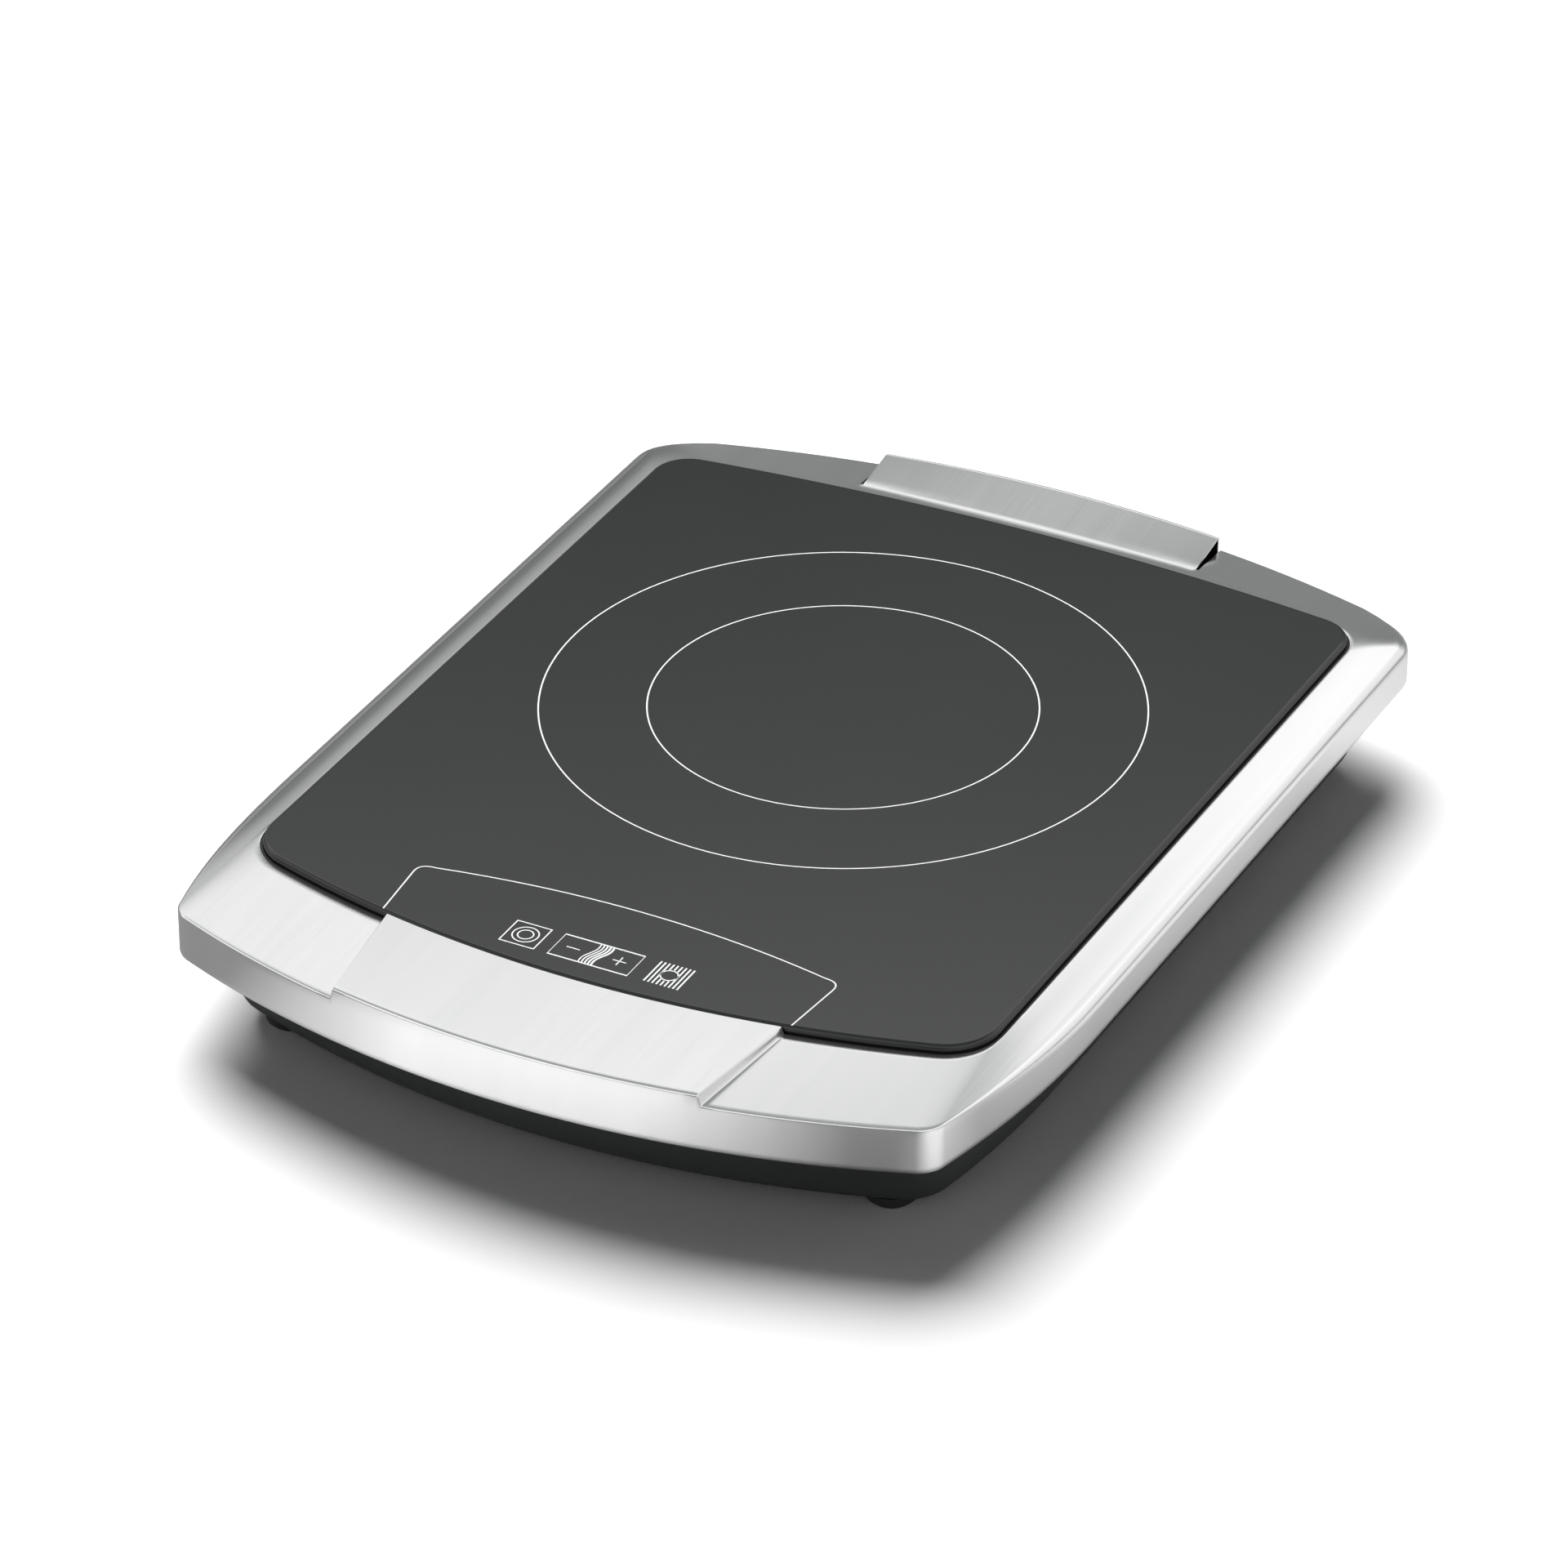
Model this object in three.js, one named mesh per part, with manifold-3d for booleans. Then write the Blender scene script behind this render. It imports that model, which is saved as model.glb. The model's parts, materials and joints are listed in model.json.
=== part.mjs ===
// Portable induction cooktop with one cooking zone.
// Millimetres, +Z up. Origin: on the floor, under the middle of the body. The front is at -Y.
import * as THREE from 'three';
import { mergeVertices } from 'three/addons/utils/BufferGeometryUtils.js';
import Module from 'manifold-3d';

const wasm = await Module();
wasm.setup();

// ---------------------------------------------------------------- driving dimensions
const GAP = 0.3;                       // clearance between neighbouring pieces
const GLASS_TOP = 58;                  // height of the cooking surface above the floor
const GLASS_THICK = 4;
const GLASS_BOTTOM = GLASS_TOP - GLASS_THICK;
const SHEET = 0.8;                     // thickness of the steel sheet

// A plan is a rounded plate: bowed front and rear edges, straight or tapering sides.
const FRAME_PLAN = {
  halfWidth: 160.4, front: -215.25, rear: 215.25, frontBow: 385, rearBow: 466,
  frontCorner: 12, rearCorner: 17, taperFrom: -86, taperBow: 385,
};
const GLASS_PLAN = {
  halfWidth: 143, front: -166.45, rear: 181.55, frontBow: 425, rearBow: 1000,
  frontCorner: 21, rearCorner: 15, taperFrom: -100, taperBow: 40000,
};
const TUB_PLAN = {
  halfWidth: 145, front: -192.5, rear: 197, frontBow: 362, rearBow: 450,
  frontCorner: 20, rearCorner: 22, taperFrom: -86, taperBow: 385,
};

const LIP_TOP = 55.25;                 // steel beside the seal
const LEDGE_TOP = 52.7;                // shelf that carries the seal and the glass
const LEDGE_REACH = 7;                 // how far the shelf reaches under the glass
const SEAL_WIDTH = 1;                  // seal between the glass edge and the steel
const CREASE_ROUND = 2.4;              // radius of the folded outer edge
const CREASE_FRONT = 53;               // crease height at the front and the rear
const CREASE_SIDE = 51.9;              // crease height along the sides
const SKIRT_BOTTOM = 35;
const HEM_REACH = 11;                  // turned-in edge that the base is screwed to

const PANEL_HALF_REAR = 77.4;          // raised front panel, half width at the glass
const PANEL_HALF_FRONT = 70.6;         // and at the front edge
const PANEL_DROP = 0.8;                // fall of the panel from the glass to the front
const HOOD_HALF = 70;                  // raised vent hood at the rear
const HOOD_START = 188;
const HOOD_FOOT = 54.2;                // hood height where it leaves the bezel

const TUB_BOTTOM = 5.5;
const TUB_TOP = 34.8;
const TUB_WALL = 2.2;
const TUB_FLOOR = TUB_BOTTOM + TUB_WALL;
const TUB_FLARE = 3;                   // how much wider the tub is at its rim, each side
const FLANGE_THICK = 2;
const FLANGE_INSET = 3;

const ZONE = new THREE.Vector2(0, 36.25);      // centre of the cooking zone
const FAN = new THREE.Vector2(-72, 98);        // centre of the cooling fan
const FAN_SIZE = 92;
const BOARD_TOP = 15.6;                        // upper face of the power board

const FEET = [[-118, -158], [118, -158], [-112, 162], [112, 162]];
const SCREW_HEAD = 3.2;                        // head radius of the countersunk base screws
const BASE_SCREWS = [[-80, -200], [80, -200], [-153.5, 20], [153.5, 20], [-80, 201], [80, 201]];
const BOARD_SCREWS = [[20, -86], [126, -86], [20, 142], [126, 142]];
const COIL_POSTS = [[0, 121.25], [-73.6, -6.25], [73.6, -6.25]];
const CARRIER_POSTS = [[-44, -152], [44, -152], [-44, -128], [44, -128]];
const GLAND_X = 100;
const GLAND_Z = 20;
const GLAND_BORE = 4.2;
const GLAND_BOSS_FRONT = 181;                  // flat boss in the rear wall that the gland clips into
const GLAND_BOSS_REAR = 190.5;

// ---------------------------------------------------------------- looks
const looks = {
  glassCeramic: { color: 0x2e3030, roughness: 0.08, metalness: 0 },
  seal: { color: 0x1c1d1d, roughness: 0.7, metalness: 0 },
  steel: { color: 0xb9bab5, roughness: 0.32, metalness: 1 },
  blackPlastic: { color: 0x242526, roughness: 0.6, metalness: 0 },
  rubber: { color: 0x1a1a1a, roughness: 0.9, metalness: 0 },
  screwSteel: { color: 0x8f9092, roughness: 0.35, metalness: 1 },
  board: { color: 0x24613a, roughness: 0.5, metalness: 0 },
  aluminium: { color: 0xb4b6b8, roughness: 0.45, metalness: 1 },
  epoxy: { color: 0x1f2022, roughness: 0.5, metalness: 0 },
  film: { color: 0xb04a2c, roughness: 0.4, metalness: 0 },
  copper: { color: 0xb06a3c, roughness: 0.35, metalness: 1 },
  whitePlastic: { color: 0xdad7cf, roughness: 0.5, metalness: 0 },
  ferrite: { color: 0x3a3b3e, roughness: 0.7, metalness: 0 },
  mica: { color: 0xb9a888, roughness: 0.6, metalness: 0 },
  ceramic: { color: 0xe6e3da, roughness: 0.4, metalness: 0 },
  glassTube: { color: 0xc9d2d2, roughness: 0.15, metalness: 0 },
  brownWire: { color: 0x6b4630, roughness: 0.6, metalness: 0 },
  blueWire: { color: 0x2c5a96, roughness: 0.6, metalness: 0 },
  redWire: { color: 0xa8322c, roughness: 0.6, metalness: 0 },
  greyRibbon: { color: 0x9a9c9e, roughness: 0.6, metalness: 0 },
};

// ---------------------------------------------------------------- helpers
const cooktop = new THREE.Group();

function addPart(name, geometry, look, parent = cooktop) {
  const mesh = new THREE.Mesh(geometry, new THREE.MeshStandardMaterial(looks[look]));
  mesh.name = name;
  parent.add(mesh);
  return mesh;
}

// A closed geometry as a solid for joining and cutting.
function solid(geometry) {
  const plain = geometry.clone();
  plain.deleteAttribute('normal');
  plain.deleteAttribute('uv');
  const merged = mergeVertices(plain, 1e-4);
  return new wasm.Manifold(new wasm.Mesh({
    numProp: 3,
    vertProperties: new Float32Array(merged.attributes.position.array),
    triVerts: new Uint32Array(merged.index.array),
  }));
}

// A joined or cut solid as a three.js geometry.
function shapeOf(body) {
  const mesh = body.getMesh();
  const geometry = new THREE.BufferGeometry();
  geometry.setAttribute('position', new THREE.BufferAttribute(mesh.vertProperties, 3));
  geometry.setIndex(new THREE.BufferAttribute(mesh.triVerts, 1));
  geometry.computeVertexNormals();
  return geometry;
}

function joined(...bodies) {
  return bodies.reduce((whole, body) => whole.add(body));
}

function box(sizeX, sizeY, sizeZ, x, y, bottom) {
  return new THREE.BoxGeometry(sizeX, sizeY, sizeZ).translate(x, y, bottom + sizeZ / 2);
}

// An upright cylinder standing at a height.
function post(radius, height, x, y, bottom, sides = 16) {
  return new THREE.CylinderGeometry(radius, radius, height, sides)
    .rotateX(Math.PI / 2)
    .translate(x, y, bottom + height / 2);
}

// A turned piece about the vertical: the profile is a list of [radius, height] pairs.
function turned(profile, x, y, sides = 32) {
  const points = profile.map(([radius, height]) => new THREE.Vector2(radius, height));
  return new THREE.LatheGeometry(points, sides).rotateX(Math.PI / 2).translate(x, y, 0);
}

// An upright prism between two heights.
function prism(shape, bottom, top, options = {}) {
  return new THREE.ExtrudeGeometry(shape, {
    depth: top - bottom, bevelEnabled: false, curveSegments: 12, ...options,
  }).translate(0, 0, bottom);
}

// ---------------------------------------------------------------- plan outlines
// Points along an arc, without the last one.
function arcPoints(centre, radius, from, to, steps) {
  return Array.from({ length: steps }, (_, i) => {
    const angle = from + (to - from) * (i / steps);
    return new THREE.Vector2(centre.x + radius * Math.cos(angle), centre.y + radius * Math.sin(angle));
  });
}

function angleFrom(centre, point) {
  return Math.atan2(point.y - centre.y, point.x - centre.x);
}

// Where two circles meet, taking the meeting point on the right.
function circlesMeet(a, radiusA, b, radiusB) {
  const apart = a.distanceTo(b);
  const along = (radiusA * radiusA - radiusB * radiusB + apart * apart) / (2 * apart);
  const across = Math.sqrt(radiusA * radiusA - along * along);
  const unit = b.clone().sub(a).divideScalar(apart);
  const middle = a.clone().addScaledVector(unit, along);
  const meets = [1, -1].map((side) =>
    new THREE.Vector2(middle.x - unit.y * across * side, middle.y + unit.x * across * side));
  return meets[0].x > meets[1].x ? meets[0] : meets[1];
}

// The outline of a plan, counter-clockwise, moved inwards by inset.
function outline(plan, inset = 0) {
  const half = plan.halfWidth - inset;
  const frontBow = plan.frontBow - inset;
  const rearBow = plan.rearBow - inset;
  const taperBow = plan.taperBow - inset;
  const frontCorner = Math.max(plan.frontCorner - inset, 1);
  const rearCorner = Math.max(plan.rearCorner - inset, 1);
  const frontCentre = new THREE.Vector2(0, plan.front + plan.frontBow);
  const rearCentre = new THREE.Vector2(0, plan.rear - plan.rearBow);
  const taperCentre = new THREE.Vector2(half - taperBow, plan.taperFrom);
  const frontTurn = circlesMeet(frontCentre, frontBow - frontCorner, taperCentre, taperBow - frontCorner);
  const rearTurn = new THREE.Vector2(half - rearCorner, 0);
  rearTurn.y = rearCentre.y + Math.sqrt((rearBow - rearCorner) ** 2 - rearTurn.x ** 2);

  const frontAngle = angleFrom(frontCentre, frontTurn);
  const taperAngle = angleFrom(taperCentre, frontTurn);
  const rearAngle = angleFrom(rearCentre, rearTurn);
  const right = [
    ...arcPoints(frontCentre, frontBow, -Math.PI / 2, frontAngle, 7),
    ...arcPoints(frontTurn, frontCorner, frontAngle, taperAngle, 4),
    ...arcPoints(taperCentre, taperBow, taperAngle, 0, 4),
    new THREE.Vector2(half, plan.taperFrom),
    ...arcPoints(rearTurn, rearCorner, 0, rearAngle, 4),
    ...arcPoints(rearCentre, rearBow, rearAngle, Math.PI / 2, 7),
    new THREE.Vector2(0, plan.rear - inset),
  ];
  const left = right.slice(1, -1).reverse().map((p) => new THREE.Vector2(-p.x, p.y));
  return [...right, ...left];
}

function plate(plan, inset, bottom, top, options) {
  return prism(new THREE.Shape(outline(plan, inset)), bottom, top, options);
}

// Loops at given heights; the height may depend on the place.
function loop(plan, inset, height) {
  return outline(plan, inset).map((p) =>
    new THREE.Vector3(p.x, p.y, typeof height === 'function' ? height(p) : height));
}

// A closed band through matching loops: the grid of a lathe, each of its points moved to its loop.
function band(loops) {
  const stations = loops[0].length;
  const rows = loops.length + 1;
  const profile = Array.from({ length: rows }, (_, j) => new THREE.Vector2(1 + j, j));
  const geometry = new THREE.LatheGeometry(profile, stations);
  const position = geometry.attributes.position;
  for (let i = 0; i <= stations; i += 1) {
    for (let j = 0; j < rows; j += 1) {
      const place = loops[j % loops.length][i % stations];
      position.setXYZ(i * rows + j, place.x, place.y, place.z);
    }
  }
  return geometry;
}

// ---------------------------------------------------------------- glass and seal
function glassPlate() {
  const bevel = 0.8;
  return plate(GLASS_PLAN, 0, GLASS_BOTTOM + bevel, GLASS_TOP - bevel, {
    bevelEnabled: true, bevelSize: bevel, bevelThickness: bevel, bevelOffset: -bevel, bevelSegments: 1,
  });
}

// An L-shaped bead: it lies between the shelf and the glass and turns up around the glass edge.
function glassSeal() {
  const side = 0.15;
  return band([
    loop(GLASS_PLAN, LEDGE_REACH - 1, LEDGE_TOP + side),
    loop(GLASS_PLAN, -SEAL_WIDTH + side, LEDGE_TOP + side),
    loop(GLASS_PLAN, -SEAL_WIDTH + side, LIP_TOP),
    loop(GLASS_PLAN, -side, LIP_TOP),
    loop(GLASS_PLAN, -side, GLASS_BOTTOM - side),
    loop(GLASS_PLAN, LEDGE_REACH - 1, GLASS_BOTTOM - side),
  ]);
}

// ---------------------------------------------------------------- steel frame
function creaseHeight(p) {
  const t = THREE.MathUtils.smoothstep(Math.abs(p.x), 135, 157);
  return CREASE_FRONT + t * (CREASE_SIDE - CREASE_FRONT);
}

// The pressed surround: shelf, lip, sloping bezel, folded edge, skirt and turned-in hem.
function surround() {
  const lowered = (drop) => (p) => creaseHeight(p) - drop;
  const half = CREASE_ROUND * 0.29;
  return solid(band([
    loop(GLASS_PLAN, LEDGE_REACH, LEDGE_TOP),
    loop(GLASS_PLAN, LEDGE_REACH, LEDGE_TOP - SHEET),
    loop(GLASS_PLAN, -SEAL_WIDTH - SHEET, LEDGE_TOP - SHEET),
    loop(GLASS_PLAN, -SEAL_WIDTH - SHEET, LIP_TOP - SHEET),
    loop(FRAME_PLAN, CREASE_ROUND + SHEET, lowered(SHEET)),
    loop(FRAME_PLAN, SHEET, lowered(CREASE_ROUND + SHEET)),
    loop(FRAME_PLAN, SHEET, SKIRT_BOTTOM + SHEET),
    loop(FRAME_PLAN, HEM_REACH, SKIRT_BOTTOM + SHEET),
    loop(FRAME_PLAN, HEM_REACH, SKIRT_BOTTOM),
    loop(FRAME_PLAN, 0, SKIRT_BOTTOM),
    loop(FRAME_PLAN, 0, lowered(CREASE_ROUND)),
    loop(FRAME_PLAN, half, lowered(half)),
    loop(FRAME_PLAN, CREASE_ROUND, lowered(0)),
    loop(GLASS_PLAN, -SEAL_WIDTH, LIP_TOP),
    loop(GLASS_PLAN, -SEAL_WIDTH, LEDGE_TOP),
  ]));
}

// Plan of the raised front panel, moved inwards by inset.
function panelShape(inset) {
  const bow = FRAME_PLAN.frontBow - inset;
  const centreY = FRAME_PLAN.front + FRAME_PLAN.frontBow;
  const halfFront = PANEL_HALF_FRONT - inset;
  const halfRear = PANEL_HALF_REAR - inset;
  const angle = Math.acos(halfFront / bow);
  const shape = new THREE.Shape();
  shape.moveTo(halfRear, GLASS_PLAN.front + 8);
  shape.lineTo(-halfRear, GLASS_PLAN.front + 8);
  shape.absarc(0, centreY, bow, Math.PI + angle, 2 * Math.PI - angle, false);
  return shape;
}

// Lets the upper face of a prism fall towards the front.
function fallingTop(geometry, top, fall) {
  const position = geometry.attributes.position;
  const run = GLASS_PLAN.front - FRAME_PLAN.front;
  for (let i = 0; i < position.count; i += 1) {
    const forward = Math.max((GLASS_PLAN.front - position.getY(i)) / run, 0);
    const share = THREE.MathUtils.clamp((position.getZ(i) - top + 4) / 4, 0, 1);
    position.setZ(i, position.getZ(i) - fall * forward * share);
  }
  return geometry;
}

function withFrontPanel(frame) {
  const bevel = 1.2;
  const bottom = 46;
  const body = solid(fallingTop(prism(panelShape(0), bottom + bevel, GLASS_TOP - bevel, {
    bevelEnabled: true, bevelSize: bevel, bevelThickness: bevel, bevelOffset: -bevel, bevelSegments: 2,
  }), GLASS_TOP, PANEL_DROP));
  const glassRoom = solid(plate(GLASS_PLAN, -GAP, 40, 60));
  const sealRoom = solid(plate(GLASS_PLAN, -SEAL_WIDTH, 40, LIP_TOP + GAP));
  const lipRoom = solid(plate(GLASS_PLAN, -SEAL_WIDTH - SHEET, 30, 60));
  const hollowShape = prism(panelShape(SHEET + 0.2), 40, GLASS_TOP - SHEET);
  const hollow = solid(fallingTop(hollowShape, GLASS_TOP, PANEL_DROP)).subtract(lipRoom);
  return frame.subtract(hollow).add(body.subtract(hollow).subtract(glassRoom).subtract(sealRoom));
}

// The rear hood is a ramp of the same sheet, open at both sides, with vent slots in its rear wall.
function withRearHood(frame) {
  const sideGap = 0.6;
  const wallFoot = 46;
  const rearEdge = FRAME_PLAN.rear;
  const ramp = (raise, half, start, inset) => {
    const bow = FRAME_PLAN.rearBow - inset;
    const angle = Math.acos(half / bow);
    const shape = new THREE.Shape();
    shape.moveTo(-half, start);
    shape.lineTo(half, start);
    shape.absarc(0, rearEdge - FRAME_PLAN.rearBow, bow, angle, Math.PI - angle, false);
    const geometry = prism(shape, wallFoot, GLASS_TOP);
    const position = geometry.attributes.position;
    for (let i = 0; i < position.count; i += 1) {
      if (position.getZ(i) > wallFoot + 1) {
        const along = (position.getY(i) - HOOD_START) / (rearEdge - HOOD_START);
        position.setZ(i, HOOD_FOOT + raise + along * (GLASS_TOP - HOOD_FOOT));
      }
    }
    return solid(geometry);
  };
  const room = solid(box(2 * HOOD_HALF, 60, 20, 0, HOOD_START + 30 + 1.2, wallFoot + 1));
  const outer = ramp(0, HOOD_HALF - sideGap, HOOD_START, 0.6);
  const inner = ramp(-SHEET, HOOD_HALF + 5, HOOD_START - 2, 0.6 + SHEET);
  return frame.subtract(room).add(outer.subtract(inner));
}

function ventSlots() {
  const slots = [];
  for (let i = -4; i <= 4; i += 1) {
    slots.push(solid(box(8, 30, 10, i * 14, FRAME_PLAN.rear - 4, 40)));
  }
  return joined(...slots);
}

function steelFrame() {
  const screwHoles = joined(...BASE_SCREWS.map(([x, y]) => solid(post(2, 4, x, y, SKIRT_BOTTOM - 1, 12))));
  return shapeOf(withRearHood(withFrontPanel(surround())).subtract(ventSlots()).subtract(screwHoles));
}

// ---------------------------------------------------------------- plastic base
// A prism that widens towards the top by the tub's flare.
function flared(inset, bottom, top) {
  const geometry = plate(TUB_PLAN, inset, bottom, top);
  const position = geometry.attributes.position;
  for (let i = 0; i < position.count; i += 1) {
    const share = (position.getZ(i) - TUB_BOTTOM) / (TUB_TOP - TUB_BOTTOM);
    position.setX(i, position.getX(i) * (1 + share * TUB_FLARE / TUB_PLAN.halfWidth));
    position.setY(i, position.getY(i) * (1 + share * TUB_FLARE / TUB_PLAN.rear));
  }
  return solid(geometry);
}

// Slots across a circle, under the fan.
function intakeGrille() {
  const radius = 41;
  const pitch = 8;
  const slots = [];
  for (let i = -4; i <= 4; i += 1) {
    const half = Math.sqrt(radius * radius - (i * pitch) ** 2);
    for (const side of [-1, 1]) {
      const length = half - 2;
      const middle = FAN.x + side * (2 + length / 2);
      slots.push(solid(box(length, 4, 8, middle, FAN.y + i * pitch, TUB_BOTTOM - 2)));
    }
  }
  return joined(...slots);
}

function baseTub() {
  const shell = flared(0, TUB_BOTTOM, TUB_TOP);
  const flange = solid(plate(FRAME_PLAN, FLANGE_INSET, TUB_TOP - FLANGE_THICK, TUB_TOP));
  const inside = flared(TUB_WALL, TUB_FLOOR, TUB_TOP + 5);
  const bossDepth = GLAND_BOSS_REAR - GLAND_BOSS_FRONT;
  const glandBoss = solid(box(26, bossDepth, 24, GLAND_X, GLAND_BOSS_FRONT, TUB_BOTTOM + 1)
    .translate(0, bossDepth / 2, 0));
  const glandHole = solid(new THREE.CylinderGeometry(6.6, 6.6, 40, 20)
    .translate(GLAND_X, GLAND_BOSS_REAR, GLAND_Z));
  const seat = TUB_TOP - FLANGE_THICK;
  const screwHoles = joined(...BASE_SCREWS.map(([x, y]) => solid(turned([
    [0, seat - 2], [SCREW_HEAD + GAP, seat - 2], [SCREW_HEAD + GAP, seat],
    [2, seat + SCREW_HEAD + GAP - 2], [2, seat + 6], [0, seat + 6],
  ], x, y, 12))));
  const stand = ([x, y], radius, top) => solid(post(radius, top - TUB_FLOOR + 1, x, y, TUB_FLOOR - 1, 8));
  const posts = joined(
    ...BOARD_SCREWS.map((place) => stand(place, 4, 13.7)),
    ...COIL_POSTS.map((place) => stand(place, 4.5, 38.2)),
    ...CARRIER_POSTS.map((place) => stand(place, 3.5, 41.7)),
  );
  const screwPilots = joined(...BOARD_SCREWS.map(([x, y]) => solid(post(1.8, 6, x, y, 9, 8))));
  return shapeOf(shell.add(flange).subtract(inside).add(glandBoss).add(posts).subtract(intakeGrille())
    .subtract(glandHole).subtract(screwHoles).subtract(screwPilots));
}

function foot(x, y) {
  return turned([[0, 0], [7.6, 0], [9, 1.2], [9.6, 5.2], [0, 5.2]], x, y, 18);
}

// A countersunk screw pointing up, its head flush with the underside of the flange.
function baseScrew(x, y) {
  const face = TUB_TOP - FLANGE_THICK + 0.1;
  const shank = 1.6;
  return turned([
    [0, face], [SCREW_HEAD, face], [shank, face + SCREW_HEAD - shank], [shank, face + 6], [0, face + 7.5],
  ], x, y, 12);
}

// A pan-head screw pointing down through the power board.
function boardScrew(x, y) {
  const seat = BOARD_TOP + 0.1;
  const headTop = seat + 2.2;
  return turned([
    [0, seat - 6], [1.4, seat - 5], [1.4, seat], [3.2, seat], [3.2, seat + 1.4], [2.4, headTop], [0, headTop],
  ], x, y, 10);
}

// A flanged bush in the rear wall, where a mains cord would enter.
function cableGland() {
  const inner = GLAND_BOSS_FRONT - GLAND_BOSS_REAR - GAP;
  const points = [
    [GLAND_BORE, inner - 4], [7.4, inner - 4], [8.4, inner], [6.2, inner], [6.2, GAP], [9.5, GAP],
    [9.5, 2.3], [7, 2.8], [6.2, 8.5], [GLAND_BORE, 8.5], [GLAND_BORE, inner - 4],
  ].map(([radius, along]) => new THREE.Vector2(radius, along));
  return new THREE.LatheGeometry(points, 16).translate(GLAND_X, GLAND_BOSS_REAR, GLAND_Z);
}

// ---------------------------------------------------------------- mains and power electronics
function terminalBlock() {
  const length = 34;
  const body = solid(box(length, 18, 14, GLAND_X, 164, TUB_FLOOR + GAP));
  const ports = [-1, 0, 1].map((i) => joined(
    solid(box(5, 30, 5, GLAND_X + i * 10.5, 164, 12)),
    solid(post(2.6, 8, GLAND_X + i * 10.5, 164, 15, 12)),
  ));
  return shapeOf(body.subtract(joined(...ports)));
}

const MAINS_WIRE = 1.3;                        // wire radii
const COIL_WIRE = 1.9;
const LIVE_ROUTE = [[95, 154, 14.6], [96, 149, 18], [100, 144, 22], [104, 139, 20], [106, 136, 17]];
const NEUTRAL_ROUTE = [[84, 154, 14.6], [83, 149, 18], [85, 144, 21], [88, 139, 20], [90, 134, 17]];
const COIL_ROUTE_1 = [[60, -44, 49.9], [60, -50, 49], [58, -58, 42], [54, -62, 30], [52, -62, 17]];
const COIL_ROUTE_2 = [[76, -30, 49.9], [80, -36, 49], [82, -44, 42], [82, -52, 30], [82, -54, 17]];

// A round wire through a few chosen points.
function wire(points, radius, steps = 12) {
  const path = new THREE.CatmullRomCurve3(points.map(([x, y, z]) => new THREE.Vector3(x, y, z)));
  const section = new THREE.Shape().absarc(0, 0, radius, 0, 2 * Math.PI, false);
  return new THREE.ExtrudeGeometry(section, {
    steps, curveSegments: 3, bevelEnabled: false, extrudePath: path,
  });
}

function powerBoard() {
  const board = solid(box(122, 244, 1.6, 73, 28, 14));
  const screwHoles = BOARD_SCREWS.map(([x, y]) => solid(post(1.7, 6, x, y, 12, 12)));
  const [postX, postY] = COIL_POSTS[2];
  return shapeOf(board.subtract(joined(...screwHoles, solid(post(5.2, 6, postX, postY, 12, 16)))));
}

// A comb section drawn once and run along the sink: two legs, a base and thin fins.
function heatsink() {
  const left = 22;
  const width = 56;
  const baseBottom = 21.4;
  const baseTop = 25.4;
  const finTop = 37.4;
  const fins = 9;
  const finThick = 1.6;
  const pitch = (width - finThick) / (fins - 1);
  const shape = new THREE.Shape();
  shape.moveTo(0, BOARD_TOP + GAP);
  shape.lineTo(3, BOARD_TOP + GAP);
  shape.lineTo(3, baseBottom);
  shape.lineTo(width - 3, baseBottom);
  shape.lineTo(width - 3, BOARD_TOP + GAP);
  shape.lineTo(width, BOARD_TOP + GAP);
  for (let i = fins - 1; i >= 0; i -= 1) {
    const x = i * pitch;
    shape.lineTo(x + finThick, finTop);
    shape.lineTo(x, finTop);
    if (i > 0) {
      shape.lineTo(x, baseTop);
      shape.lineTo(x - pitch + finThick, baseTop);
    }
  }
  const length = 100;
  return new THREE.ExtrudeGeometry(shape, { depth: length, bevelEnabled: false })
    .rotateX(Math.PI / 2)
    .translate(left, 25 + length, 0);
}

// A flat package with three legs bent down to the board.
function flatPackage(x, y, width, length) {
  const bottom = BOARD_TOP + GAP;
  const body = solid(box(width, length, 5, x, y, bottom + 0.3));
  const legY = y - length / 2 - 3.4;
  const legs = [-1, 0, 1].map((i) => solid(box(1.2, 8, 0.8, x + i * width * 0.3, legY, bottom + 1.6)));
  return shapeOf(joined(body, ...legs));
}

// A boxed capacitor with softened upright edges.
function boxedCapacitor(x, y, width, length, height) {
  const round = 1.5;
  const shape = new THREE.Shape();
  const [hx, hy] = [width / 2, length / 2];
  shape.moveTo(hx - round, -hy);
  shape.absarc(hx - round, -hy + round, round, -Math.PI / 2, 0, false);
  shape.absarc(hx - round, hy - round, round, 0, Math.PI / 2, false);
  shape.absarc(-hx + round, hy - round, round, Math.PI / 2, Math.PI, false);
  shape.absarc(-hx + round, -hy + round, round, Math.PI, 1.5 * Math.PI, false);
  const bottom = BOARD_TOP + GAP;
  return prism(shape, bottom, bottom + height, { curveSegments: 3 }).translate(x, y, 0);
}

// A ring core lying on the board.
function filterChoke(x, y) {
  const bottom = BOARD_TOP + GAP;
  const core = [];
  const sides = 8;
  for (let i = 0; i <= sides; i += 1) {
    const angle = (i / sides) * 2 * Math.PI;
    core.push([13 + 5.5 * Math.cos(angle), bottom + 6.5 + 6.5 * Math.sin(angle)]);
  }
  return turned(core, x, y, 18);
}

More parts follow.
